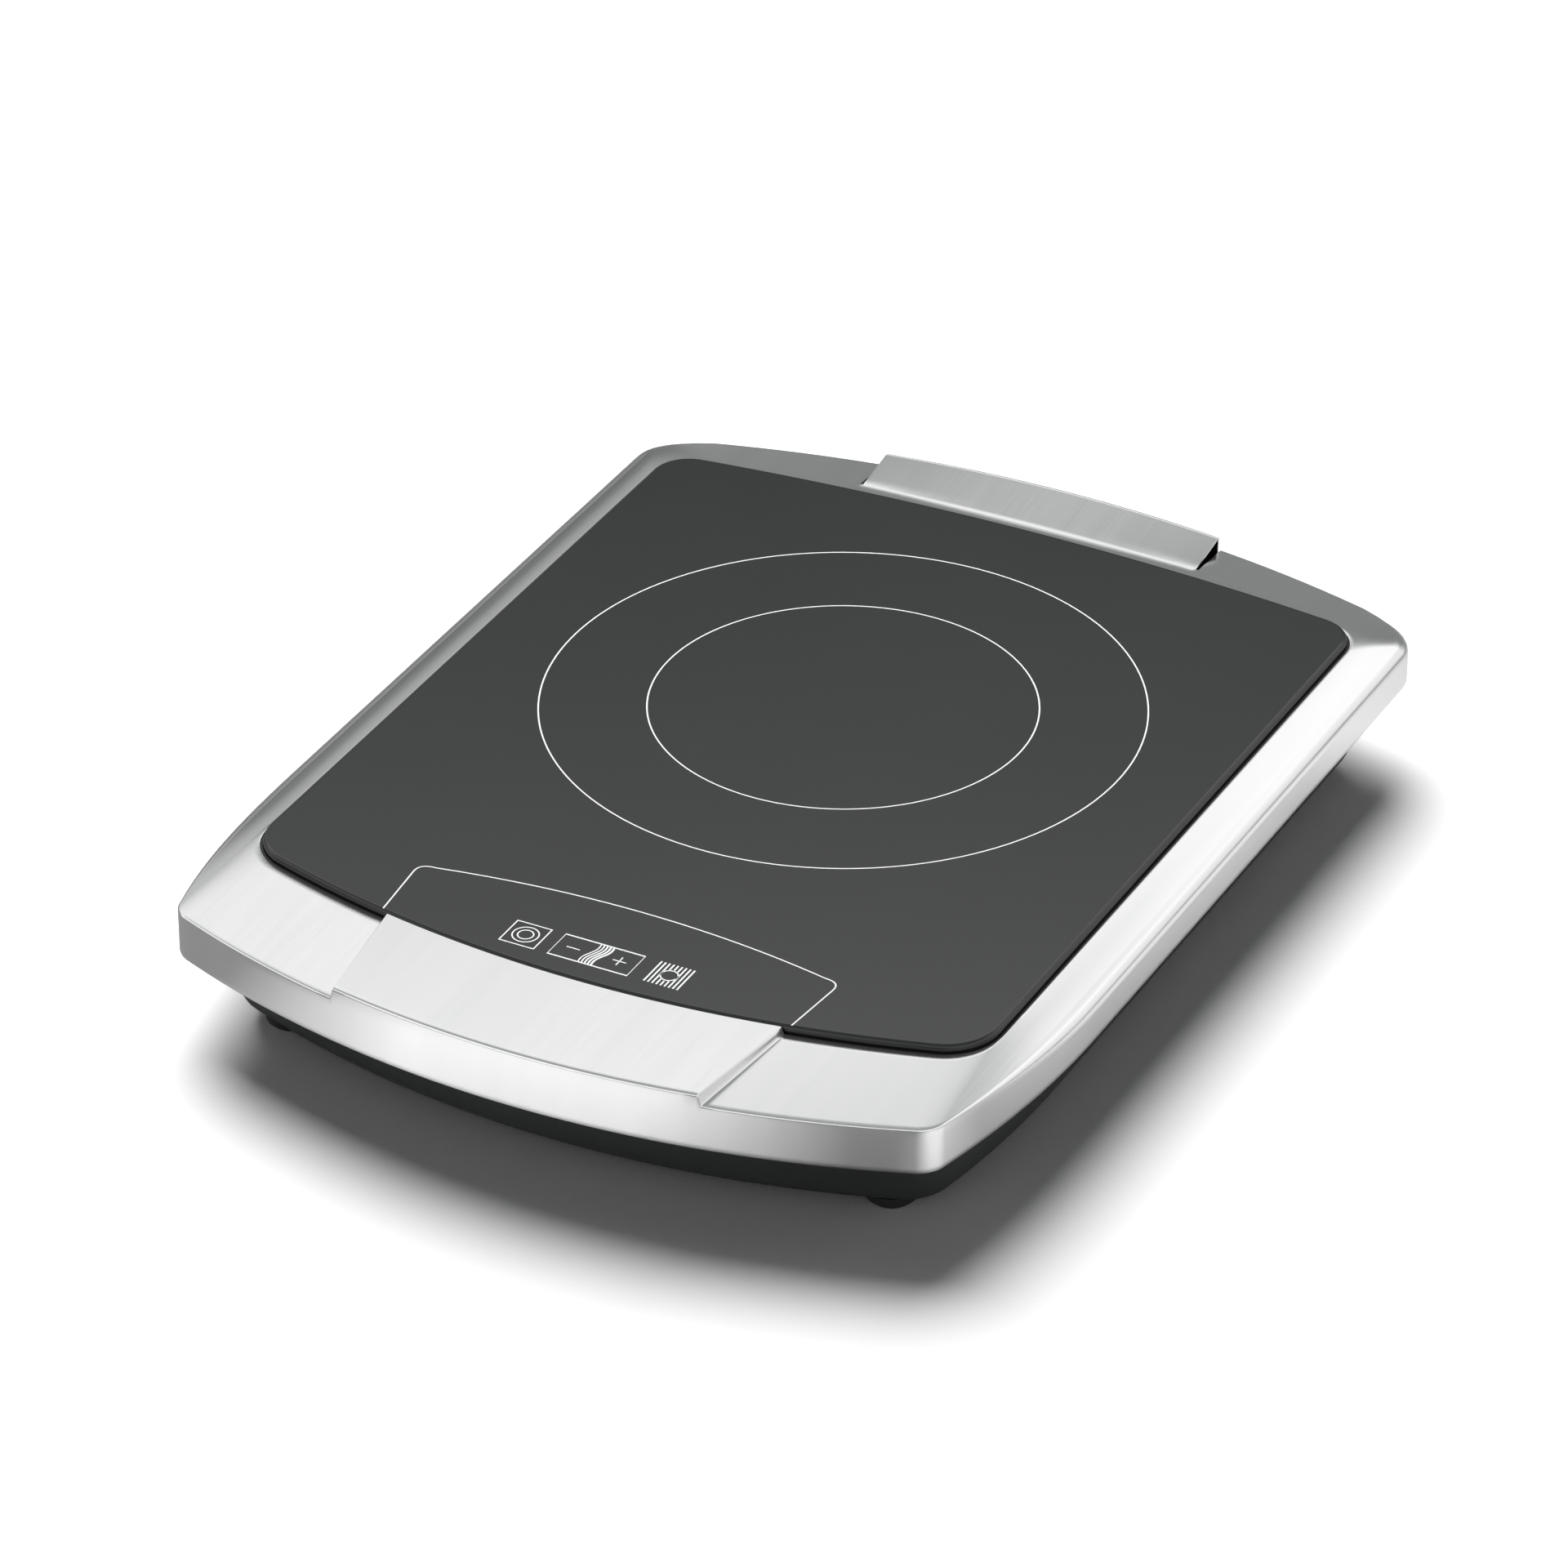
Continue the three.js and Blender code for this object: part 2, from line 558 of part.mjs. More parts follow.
// A glass tube between two end caps, drawn as one turned piece.
function fuse(x, y) {
  const points = [[0, -11], [3, -11], [3, -5.5], [2.5, -5.5], [2.5, 5.5], [3, 5.5], [3, 11], [0, 11]]
    .map(([radius, along]) => new THREE.Vector2(radius, along));
  return new THREE.LatheGeometry(points, 16).translate(x, y, BOARD_TOP + 3.4);
}

function supplyTransformer(x, y) {
  const bottom = BOARD_TOP + GAP;
  const core = solid(box(20, 7, 16, x, y, bottom));
  const winding = solid(box(13, 17, 12, x, y, bottom + 2));
  return shapeOf(core.add(winding));
}

// ---------------------------------------------------------------- fan
function fanFrame() {
  const bottom = TUB_FLOOR + GAP;
  const height = 25;
  const bore = 43.5;
  const plateShape = new THREE.Shape();
  const half = FAN_SIZE / 2;
  const round = 5;
  plateShape.moveTo(half - round, -half);
  plateShape.absarc(half - round, -half + round, round, -Math.PI / 2, 0, false);
  plateShape.absarc(half - round, half - round, round, 0, Math.PI / 2, false);
  plateShape.absarc(-half + round, half - round, round, Math.PI / 2, Math.PI, false);
  plateShape.absarc(-half + round, -half + round, round, Math.PI, 1.5 * Math.PI, false);
  const ring = solid(prism(plateShape, bottom, bottom + height, { curveSegments: 3 }))
    .subtract(solid(post(bore, height + 4, 0, 0, bottom - 2, 40)));
  const hub = solid(post(17, 2.2, 0, 0, bottom, 24));
  const struts = [0, 1].map((i) =>
    solid(new THREE.BoxGeometry(2 * bore + 1, 3.2, 2.2).rotateZ(Math.PI / 4 + i * Math.PI / 2)
      .translate(0, 0, bottom + 1.1)));
  return shapeOf(joined(ring, hub, ...struts)).translate(FAN.x, FAN.y, 0);
}

function fanStator() {
  return turned([[2.4, 10.6], [13.6, 10.6], [13.6, 25], [2.4, 25], [2.4, 10.6]], FAN.x, FAN.y, 24);
}

// A cup with a spindle inside and seven pitched blades around it.
function fanRotor() {
  const hubTop = 30.5;
  const hubBottom = 12.5;
  const hub = solid(turned([
    [0, 11.2], [1.6, 11.2], [1.6, hubTop - 2], [16, hubTop - 2], [16, hubBottom],
    [18, hubBottom], [18, hubTop - 1.5], [16.5, hubTop], [0, hubTop],
  ], 0, 0, 28));
  const blades = [];
  const count = 7;
  for (let i = 0; i < count; i += 1) {
    blades.push(solid(new THREE.BoxGeometry(24.5, 20, 1.6)
      .rotateX(THREE.MathUtils.degToRad(38))
      .translate(29.2, 0, (hubTop + hubBottom) / 2)
      .rotateZ((i / count) * 2 * Math.PI)));
  }
  return shapeOf(joined(hub, ...blades)).translate(FAN.x, FAN.y, 0);
}

// ---------------------------------------------------------------- coil stack
const COIL_INNER = 24;
const COIL_OUTER = 90;
const FORMER_BOTTOM = 46.4;
const FORMER_TOP = 49.1;
const FERRITE_COUNT = 6;

function coilFormer() {
  const rim = turned([
    [13.5, 43], [15.5, 43], [15.5, FORMER_BOTTOM], [94, FORMER_BOTTOM], [94, 52.6],
    [91.5, 52.6], [91.5, FORMER_TOP], [13.5, FORMER_TOP], [13.5, 43],
  ], 0, 0, 40);
  const windows = [];
  for (let i = 0; i < FERRITE_COUNT; i += 1) {
    const angle = ((i + 0.5) / FERRITE_COUNT) * 2 * Math.PI;
    windows.push(solid(new THREE.BoxGeometry(36, 16, 10)
      .translate(62, 0, FORMER_BOTTOM).rotateZ(angle)));
  }
  return shapeOf(solid(rim).subtract(joined(...windows))).translate(ZONE.x, ZONE.y, 0);
}

// The winding as one flat ring.
function inductionCoil() {
  return ringSheet(COIL_INNER, COIL_OUTER, FORMER_TOP + 0.2, 52.7);
}

function ferriteBar(index) {
  const angle = (index / FERRITE_COUNT) * 2 * Math.PI;
  return new THREE.BoxGeometry(58, 13, 5)
    .translate(56, 0, 43.6)
    .rotateZ(angle)
    .translate(ZONE.x, ZONE.y, 0);
}

function ringSheet(inner, outer, bottom, top) {
  return turned([
    [inner, bottom], [outer, bottom], [outer, top], [inner, top], [inner, bottom],
  ], ZONE.x, ZONE.y, 40);
}

// ---------------------------------------------------------------- temperature sensor
function sensorPlunger() {
  return turned([
    [0, 40.8], [2, 40.8], [2, 51.2], [7, 51.2], [7, 53.2], [6.4, 53.7], [0, 53.7],
  ], ZONE.x, ZONE.y, 24);
}

// A cup that hangs under the coil former and holds the foot of the spring.
function sensorHolder() {
  return turned([
    [2.5, 40.4], [12.8, 40.4], [12.8, 47.6], [11, 47.6], [11, 42.2], [2.5, 42.2], [2.5, 40.4],
  ], ZONE.x, ZONE.y, 24);
}

function coilSpring(x, y, radius, wireRadius, bottom, top, turns, stepsPerTurn = 9) {
  class Helix extends THREE.Curve {
    getPoint(t, target = new THREE.Vector3()) {
      const angle = t * turns * 2 * Math.PI;
      return target.set(radius * Math.cos(angle), radius * Math.sin(angle), bottom + t * (top - bottom));
    }
  }
  const section = new THREE.Shape().absarc(0, 0, wireRadius, 0, 2 * Math.PI, false);
  const steps = Math.round(turns * stepsPerTurn);
  return new THREE.ExtrudeGeometry(section, {
    steps, curveSegments: 2, bevelEnabled: false, extrudePath: new Helix(),
  }).translate(x, y, 0);
}

// ---------------------------------------------------------------- touch controls
const KEYS = [[-27.7, -149.7], [0, -149.7], [27.7, -149.7]];
const TOUCH_Y = -140;
const TOUCH_TOP = 46.2;

function touchCarrier() {
  const tray = solid(box(100, 36, 3, 0, TOUCH_Y, 42));
  const hollow = solid(box(74, 26, 10, 0, TOUCH_Y, 40));
  return shapeOf(tray.subtract(hollow));
}

// A flat cable: its side view is a thin line thickened both ways, drawn out to the cable's width.
function ribbonCable() {
  const width = 12;
  const halfThick = 0.4;
  const route = [[-130, 44.8], [-126, 38], [-120, 30], [-110, 23], [-98, 19.6], [-86, 17.4]];
  const path = new THREE.SplineCurve(route.map(([y, z]) => new THREE.Vector2(y, z)));
  const edge = (side) => Array.from({ length: 15 }, (_, i) => {
    const along = path.getTangent(i / 14);
    return path.getPoint(i / 14).add(new THREE.Vector2(-along.y, along.x).multiplyScalar(side * halfThick));
  });
  const section = new THREE.Shape([...edge(1), ...edge(-1).reverse()]);
  return new THREE.ExtrudeGeometry(section, { depth: width, bevelEnabled: false })
    .rotateX(Math.PI / 2)
    .rotateZ(Math.PI / 2)
    .translate(24, 0, 0);
}

// ---------------------------------------------------------------- assembly
addPart('glass_plate', glassPlate(), 'glassCeramic');
addPart('glass_seal', glassSeal(), 'seal');
addPart('steel_frame', steelFrame(), 'steel');
addPart('base_tub', baseTub(), 'blackPlastic');
FEET.forEach(([x, y], i) => addPart(`foot_${i + 1}`, foot(x, y), 'rubber'));
BASE_SCREWS.forEach(([x, y], i) => addPart(`base_screw_${i + 1}`, baseScrew(x, y), 'screwSteel'));
addPart('cable_gland', cableGland(), 'rubber');

addPart('terminal_block', terminalBlock(), 'whitePlastic');
addPart('live_lead', wire(LIVE_ROUTE, MAINS_WIRE), 'brownWire');
addPart('neutral_lead', wire(NEUTRAL_ROUTE, MAINS_WIRE), 'blueWire');

addPart('power_board', powerBoard(), 'board');
BOARD_SCREWS.forEach(([x, y], i) => addPart(`board_screw_${i + 1}`, boardScrew(x, y), 'screwSteel'));
addPart('heatsink', heatsink(), 'aluminium');
addPart('power_transistor', flatPackage(50, 58, 16, 21), 'epoxy');
addPart('bridge_rectifier', flatPackage(50, 98, 30, 20), 'epoxy');
addPart('fuse', fuse(122, 124), 'glassTube');
addPart('interference_capacitor', boxedCapacitor(104, 118, 14, 26, 18), 'film');
addPart('filter_choke', filterChoke(108, 82), 'copper');
addPart('link_capacitor', boxedCapacitor(110, 48, 34, 20, 20), 'film');
addPart('resonance_capacitor', boxedCapacitor(110, 18, 34, 22, 20), 'film');
addPart('supply_transformer', supplyTransformer(108, -28), 'epoxy');
addPart('buzzer', turned([[1, 15.9], [6, 15.9], [6, 22], [1, 22], [1, 15.9]], 104, -66, 20), 'epoxy');

addPart('fan_frame', fanFrame(), 'blackPlastic');
addPart('fan_stator', fanStator(), 'copper');
addPart('fan_rotor', fanRotor(), 'blackPlastic');

addPart('coil_former', coilFormer(), 'whitePlastic');
addPart('induction_coil', inductionCoil(), 'copper');
for (let i = 0; i < FERRITE_COUNT; i += 1) {
  addPart(`ferrite_bar_${i + 1}`, ferriteBar(i), 'ferrite');
}
addPart('insulation_sheet', ringSheet(12, 100, 53.1, 53.7), 'mica');
addPart('shield_plate', ringSheet(20, 92, 38.8, 39.8), 'aluminium');
addPart('coil_lead_1', wire(COIL_ROUTE_1, COIL_WIRE), 'redWire');
addPart('coil_lead_2', wire(COIL_ROUTE_2, COIL_WIRE), 'redWire');

addPart('sensor_plunger', sensorPlunger(), 'ceramic');
addPart('sensor_holder', sensorHolder(), 'whitePlastic');
addPart('sensor_spring', coilSpring(ZONE.x, ZONE.y, 4.4, 0.45, 42.9, 50.5, 4.5), 'screwSteel');

addPart('touch_carrier', touchCarrier(), 'whitePlastic');
addPart('touch_board', box(98, 34, 1.2, 0, TOUCH_Y, 45.2), 'board');
KEYS.forEach(([x, y], i) =>
  addPart(`touch_spring_${i + 1}`, coilSpring(x, y, 4, 0.4, TOUCH_TOP + 0.7, 53.2, 3.5), 'screwSteel'));
addPart('display_module', box(30, 8, 6, 0, TOUCH_Y + 8, TOUCH_TOP + 0.4), 'whitePlastic');
addPart('ribbon_cable', ribbonCable(), 'greyRibbon');

export default cooktop;
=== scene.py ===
# %% [markdown]
# # A portable induction cooktop
# The object is a black glass-ceramic plate in a pressed steel surround, over a black moulded base. The packed
# model gives every piece its place, and this script gives each piece its fine surface and its material.
# Everything is in metres, with the front of the cooktop towards -Y and the floor at height 0.

# %% Load the frame
import json
import math

import bmesh
import bpy
from mathutils import Matrix, Vector


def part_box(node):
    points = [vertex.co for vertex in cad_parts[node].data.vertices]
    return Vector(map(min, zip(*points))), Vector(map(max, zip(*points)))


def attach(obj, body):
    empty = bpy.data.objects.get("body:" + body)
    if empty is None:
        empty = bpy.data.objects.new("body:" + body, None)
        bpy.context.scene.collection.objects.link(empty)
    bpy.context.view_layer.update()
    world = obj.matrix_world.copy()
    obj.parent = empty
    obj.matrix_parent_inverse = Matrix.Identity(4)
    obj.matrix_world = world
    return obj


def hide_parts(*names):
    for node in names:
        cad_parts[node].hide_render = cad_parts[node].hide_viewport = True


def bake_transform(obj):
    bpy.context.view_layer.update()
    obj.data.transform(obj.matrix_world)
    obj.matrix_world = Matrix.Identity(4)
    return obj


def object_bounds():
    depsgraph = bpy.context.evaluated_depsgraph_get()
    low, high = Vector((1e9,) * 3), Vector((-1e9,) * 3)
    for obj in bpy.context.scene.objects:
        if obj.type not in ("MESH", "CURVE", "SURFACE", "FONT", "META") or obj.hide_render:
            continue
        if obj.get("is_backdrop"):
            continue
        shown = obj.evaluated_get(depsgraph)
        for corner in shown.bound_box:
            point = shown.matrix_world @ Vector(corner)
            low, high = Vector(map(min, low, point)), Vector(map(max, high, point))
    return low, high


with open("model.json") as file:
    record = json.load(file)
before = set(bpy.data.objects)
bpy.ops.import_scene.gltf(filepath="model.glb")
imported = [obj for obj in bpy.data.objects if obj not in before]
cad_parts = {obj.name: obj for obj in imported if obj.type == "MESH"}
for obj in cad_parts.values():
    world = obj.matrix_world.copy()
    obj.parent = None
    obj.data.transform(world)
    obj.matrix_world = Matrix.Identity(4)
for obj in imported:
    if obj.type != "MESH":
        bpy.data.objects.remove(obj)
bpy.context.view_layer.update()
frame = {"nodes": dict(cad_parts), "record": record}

# %% [markdown]
# ## Units, pieces and materials
# A drawing of a cooktop is dimensioned in millimetres, so a length is written as `3 * MM`. A finished piece is a
# bmesh turned into an object at the origin: its place is in its mesh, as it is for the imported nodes. It rides on
# a body, names its material slot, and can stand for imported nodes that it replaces.

# %% Small helpers
MM = 0.001


def finish_piece(name, bm, material, body="housing", stands_for=(), smooth=True):
    mesh = bpy.data.meshes.new(name)
    bm.to_mesh(mesh)
    bm.free()
    mesh.materials.append(material)
    mesh.polygons.foreach_set("use_smooth", [smooth] * len(mesh.polygons))
    piece = bpy.data.objects.new(name, mesh)
    bpy.context.scene.collection.objects.link(piece)
    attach(piece, body)
    if stands_for:
        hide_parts(*stands_for)
    return piece


def linear(hex_colour):
    channels = [int(hex_colour[i:i + 2], 16) / 255 for i in (1, 3, 5)]
    turned = [c / 12.92 if c <= 0.04045 else ((c + 0.055) / 1.055) ** 2.4 for c in channels]
    return (*turned, 1.0)


def add_node(tree, kind, settings=None, links=None):
    node = tree.nodes.new(kind)
    for key, value in (settings or {}).items():
        if isinstance(key, int) or key in node.inputs:
            node.inputs[key].default_value = value
        else:
            setattr(node, key, value)
    for key, (source, output) in (links or {}).items():
        tree.links.new(source.outputs[output], node.inputs[key])
    return node


# %% [markdown]
# ## Camera
# The cooktop is seen from the front right and above with a long lens, so its edges stay almost parallel. The
# camera looks at the middle of the cooking zone, moved a little right and up in its own plane.

# %% Camera
ZONE_X = 0.0
ZONE_Y = 36.25 * MM
GLASS_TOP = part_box("glass_plate")[1].z
VIEW_TURN = math.radians(27.43)
VIEW_RISE = math.radians(31.77)
VIEW_DISTANCE = 2837.9 * MM
SIDE_SHIFT = 21.35 * MM
UP_SHIFT = 28.42 * MM

back = Vector((math.sin(VIEW_TURN) * math.cos(VIEW_RISE), -math.cos(VIEW_TURN) * math.cos(VIEW_RISE),
               math.sin(VIEW_RISE)))
right = Vector((0, 0, 1)).cross(back).normalized()
up = back.cross(right)
camera = bpy.data.objects.new("camera", bpy.data.cameras.new("camera"))
camera.data.lens = 180.64
camera.data.sensor_width = 36
camera.data.clip_end = 100
camera.matrix_world = Matrix((right, up, back)).transposed().to_4x4()
camera.location = Vector((ZONE_X, ZONE_Y, GLASS_TOP)) - SIDE_SHIFT * right - UP_SHIFT * up + VIEW_DISTANCE * back
bpy.context.scene.collection.objects.link(camera)
bpy.context.scene.camera = camera
print("camera at", [round(v, 3) for v in camera.location])

# %% [markdown]
# ## Plan outlines
# The steel, the glass and the base all have the same kind of plan: bowed front and rear edges, sides that are
# straight and may taper towards the front, and round corners. Moving such a plan inwards only makes each of its
# radii smaller, so one function draws every parallel outline with the same number of points. Points that
# correspond can then be joined into surfaces. Each outline can also be given stations: places on its front and
# rear edges where a step begins.

# %% Outline function
STEEL = dict(half=160.4, front=-215.25, rear=215.25, front_bow=385, rear_bow=466,
             front_corner=12, rear_corner=17, taper_from=-86, taper_bow=385)
GLASS = dict(half=143, front=-166.45, rear=181.55, front_bow=425, rear_bow=1000,
             front_corner=21, rear_corner=15, taper_from=-100, taper_bow=40000)
BASE = dict(half=145, front=-192.5, rear=197, front_bow=362, rear_bow=450,
            front_corner=20, rear_corner=22, taper_from=-86, taper_bow=385)


def arc(centre, radius, start, end, steps):
    angles = [start + (end - start) * i / steps for i in range(steps)]
    return [Vector((centre[0] + radius * math.cos(a), centre[1] + radius * math.sin(a))) for a in angles]


def circles_meet(centre_a, radius_a, centre_b, radius_b):
    apart = centre_b - centre_a
    along = (radius_a ** 2 - radius_b ** 2 + apart.length_squared) / (2 * apart.length)
    across = math.sqrt(radius_a ** 2 - along ** 2)
    unit = apart.normalized()
    meets = [centre_a + along * unit + side * across * unit.orthogonal() for side in (1, -1)]
    return max(meets, key=lambda point: point.x)


def outline(plan, inset=0.0, front_steps=(), rear_steps=()):
    """Points in millimetres, counter-clockwise from the middle of the front edge."""
    half = plan["half"] - inset
    front_bow, rear_bow = plan["front_bow"] - inset, plan["rear_bow"] - inset
    taper_bow = plan["taper_bow"] - inset
    front_round = max(plan["front_corner"] - inset, 0.5)
    rear_round = max(plan["rear_corner"] - inset, 0.5)
    front_centre = Vector((0, plan["front"] + plan["front_bow"]))
    rear_centre = Vector((0, plan["rear"] - plan["rear_bow"]))
    taper_centre = Vector((half - taper_bow, plan["taper_from"]))
    front_turn = circles_meet(front_centre, front_bow - front_round, taper_centre, taper_bow - front_round)
    rear_turn = Vector((half - rear_round, 0))
    rear_turn.y = rear_centre.y + math.sqrt((rear_bow - rear_round) ** 2 - rear_turn.x ** 2)

    def bowed(centre, bow, turn, steps, side):
        # Points on a bowed edge from the middle outwards: even steps between the chosen stations.
        last = abs((turn - centre).normalized().x) * bow
        marks = [0, *steps, last]
        across = []
        for begin, end in zip(marks, marks[1:]):
            count = 12 if end - begin > 5 else 1
            across += [begin + (end - begin) * i / count for i in range(count)]
        return [Vector((x, centre.y + side * math.sqrt(bow ** 2 - x ** 2))) for x in across]

    front_angle = math.atan2(*(front_turn - front_centre).yx)
    taper_angle = math.atan2(*(front_turn - taper_centre).yx)
    rear_angle = math.atan2(*(rear_turn - rear_centre).yx)
    side_bottom = Vector((half, plan["taper_from"]))
    side_top = Vector((half, rear_turn.y))
    rear_edge = bowed(rear_centre, rear_bow, rear_turn, rear_steps, 1)
    corner_end = rear_centre + rear_bow * Vector((math.cos(rear_angle), math.sin(rear_angle)))
    half_plan = bowed(front_centre, front_bow, front_turn, front_steps, -1)
    half_plan += arc(front_turn, front_round, front_angle, taper_angle, 10)
    half_plan += arc(taper_centre, taper_bow, taper_angle, 0, 12)
    half_plan += [side_bottom.lerp(side_top, i / 12) for i in range(12)]
    half_plan += arc(rear_turn, rear_round, 0, rear_angle, 10)
    half_plan += [corner_end, *reversed(rear_edge)]
    mirrored = [Vector((-p.x, p.y)) for p in reversed(half_plan[1:-1])]
    return half_plan + mirrored


print("points around the glass:", len(outline(GLASS)))

# %% [markdown]
# ## Drawing a surface out of a loop
# A sheet-metal or moulded wall is a loop that is extruded again and again, each time to its next place. The
# extrude operator makes the new edges and faces, and the helper only says where each new vertex goes. A closed
# loop makes a wall all the way round, and an open one makes a strip.

# %% Loop helpers


def first_loop(bm, places, closed=True):
    loop = [bm.verts.new(place) for place in places]
    for a, b in zip(loop, loop[1:] + loop[:1] if closed else loop[1:]):
        bm.edges.new((a, b))
    return loop


def draw_out(bm, loop, places, closed=True):
    pairs = zip(loop, loop[1:] + loop[:1] if closed else loop[1:])
    edges = [bm.edges.get((a, b)) for a, b in pairs]
    made = bmesh.ops.extrude_edge_only(bm, edges=edges)["geom"]
    old = set(loop)
    follows = {}
    for vert in (g for g in made if isinstance(g, bmesh.types.BMVert)):
        for edge in vert.link_edges:
            if edge.other_vert(vert) in old:
                follows[edge.other_vert(vert)] = vert
    new_loop = [follows[vert] for vert in loop]
    for vert, place in zip(new_loop, places):
        vert.co = place
    return new_loop


def at_height(points, z):
    return [Vector((p.x * MM, p.y * MM, z * MM)) for p in points]


def solid_plate(bm, points, bottom, top, bevel, segments):
    """An upright plate from an outline, with its top and bottom edges rounded."""
    loop = first_loop(bm, at_height(points, bottom))
    face = bm.faces.new(loop)
    made = bmesh.ops.extrude_face_region(bm, geom=[face])["geom"]
    lifted = [g for g in made if isinstance(g, bmesh.types.BMVert)]
    bmesh.ops.translate(bm, verts=lifted, vec=(0, 0, (top - bottom) * MM))
    bmesh.ops.recalc_face_normals(bm, faces=bm.faces[:])
    rims = [e for e in bm.edges if len({abs(f.normal.z) > 0.5 for f in e.link_faces}) == 2]
    bmesh.ops.bevel(bm, geom=rims, offset=bevel * MM, segments=segments, profile=0.5, affect="EDGES", material=-1)
    # A narrow flat margin inside the bevel keeps the smooth shading of the bevel off the large faces.
    flats = [f for f in bm.faces if abs(f.normal.z) > 0.999]
    bmesh.ops.inset_region(bm, faces=flats, thickness=0.3 * MM, use_even_offset=True)
    bm.faces.index_update()


# %% [markdown]
# ## Materials
# Every surface of a real cooktop shows how it was made: moulded parts have a fine spark-eroded grain, sheet
# steel has brush lines, printed marks stand on the glass as a thin enamel. Each material below starts from the
# usual values of the real one. A recipe for moulded and cast surfaces serves the small pieces: one slow noise
# varies the colour, and one fine noise varies the gloss and lifts the surface.

# %% Recipe for moulded, cast and drawn surfaces


def bare_material(name):
    material = bpy.data.materials.new(name)
    material.use_nodes = True
    material.node_tree.nodes.clear()
    return material, material.node_tree


def surface(name, dark, light, roughness, grain_mm, depth_mm, metallic=0.0, ior=1.5, patch_mm=18.0,
            stretch=(1, 1, 1)):
    material, tree = bare_material(name)
    place = add_node(tree, "ShaderNodeTexCoord")
    run = add_node(tree, "ShaderNodeMapping", {"Scale": stretch}, {"Vector": (place, "Object")})
    patches = add_node(tree, "ShaderNodeTexNoise", {"Scale": 1000 / patch_mm, "Detail": 4.0}, {"Vector": (run, 0)})
    grain = add_node(tree, "ShaderNodeTexNoise", {"Scale": 1000 / grain_mm, "Detail": 3.0}, {"Vector": (run, 0)})
    colour = add_node(tree, "ShaderNodeMix", {"data_type": "RGBA", 6: linear(dark), 7: linear(light)},
                      {0: (patches, "Fac")})
    gloss = add_node(tree, "ShaderNodeMapRange", {"To Min": roughness * 0.85, "To Max": roughness * 1.15},
                     {"Value": (grain, "Fac")})
    relief = add_node(tree, "ShaderNodeBump", {"Strength": 1.0, "Distance": depth_mm * MM},
                      {"Height": (grain, "Fac")})
    shader = add_node(tree, "ShaderNodeBsdfPrincipled", {"Metallic": metallic, "IOR": ior},
                      {"Base Color": (colour, 2), "Roughness": (gloss, 0), "Normal": (relief, 0)})
    add_node(tree, "ShaderNodeOutputMaterial", links={"Surface": (shader, 0)})
    return material


# %% [markdown]
# ## Glass-ceramic
# The plate is a dark-tinted glass-ceramic about 4 mm thick, rolled flat and ground round its edge. It is nearly
# black in itself, and what the eye sees is mostly the reflection of the room, so the shader is a polished
# dielectric with IOR 1.53, a very dark body colour and a faint rolled waviness.

# %% Glass-ceramic material


def glass_ceramic_material():
    material, tree = bare_material("glass_ceramic_black_rolled")
    place = add_node(tree, "ShaderNodeTexCoord")
    cloud = add_node(tree, "ShaderNodeTexNoise", {"Scale": 1000 / 90, "Detail": 3.0}, {"Vector": (place, "Object")})
    wave = add_node(tree, "ShaderNodeTexNoise", {"Scale": 1000 / 40, "Detail": 1.0}, {"Vector": (place, "Object")})
    body = add_node(tree, "ShaderNodeMix",
                    {"data_type": "RGBA", 6: linear("#111212"), 7: linear("#161717")}, {0: (cloud, "Fac")})
    gloss = add_node(tree, "ShaderNodeMapRange", {"To Min": 0.06, "To Max": 0.12}, {"Value": (cloud, "Fac")})
    relief = add_node(tree, "ShaderNodeBump", {"Strength": 0.15, "Distance": 0.02 * MM}, {"Height": (wave, "Fac")})
    shader = add_node(tree, "ShaderNodeBsdfPrincipled", {"IOR": 1.53, "Specular IOR Level": 0.38},
                      {"Base Color": (body, 2), "Roughness": (gloss, 0), "Normal": (relief, 0)})
    add_node(tree, "ShaderNodeOutputMaterial", links={"Surface": (shader, 0)})
    return material


glass_ceramic = glass_ceramic_material()
ground_edge = surface("glass_ceramic_ground_edge", "#0c0d0d", "#131414", 0.3, 0.4, 0.01, ior=1.53)
PRINT_THICK = 0.02

# %% Glass plate
glass_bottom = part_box("glass_plate")[0].z / MM
glass_top = GLASS_TOP / MM
print_bottom = glass_top - PRINT_THICK
bm = bmesh.new()
solid_plate(bm, outline(GLASS), glass_bottom, print_bottom, bevel=1.4, segments=6)
edge_faces = [face.index for face in bm.faces if abs(face.normal.z) < 0.97]
glass_plate = finish_piece("glass_plate_ground", bm, glass_ceramic, stands_for=["glass_plate"])
glass_plate.data.materials.append(ground_edge)
for index in edge_faces:
    glass_plate.data.polygons[index].material_index = 1
print("glass plate", glass_bottom, "to", glass_top, "mm")

# %% [markdown]
# ## Printed marks
# The rings, the border of the touch area and the key outlines are white ceramic ink, screen printed and fired
# into the surface. A texture could draw them, but a thin line needs sharp edges at any distance, so each mark is
# a ribbon 0.02 mm thick: a path drawn out sideways to the width of its line, and then upwards.

# %% Ink and ribbons
ink = surface("ceramic_ink_white_fired", "#d4d6d5", "#e4e6e5", 0.45, 0.6, 0.002)
RING_LINE = 0.55
KEY_LINE = 0.5


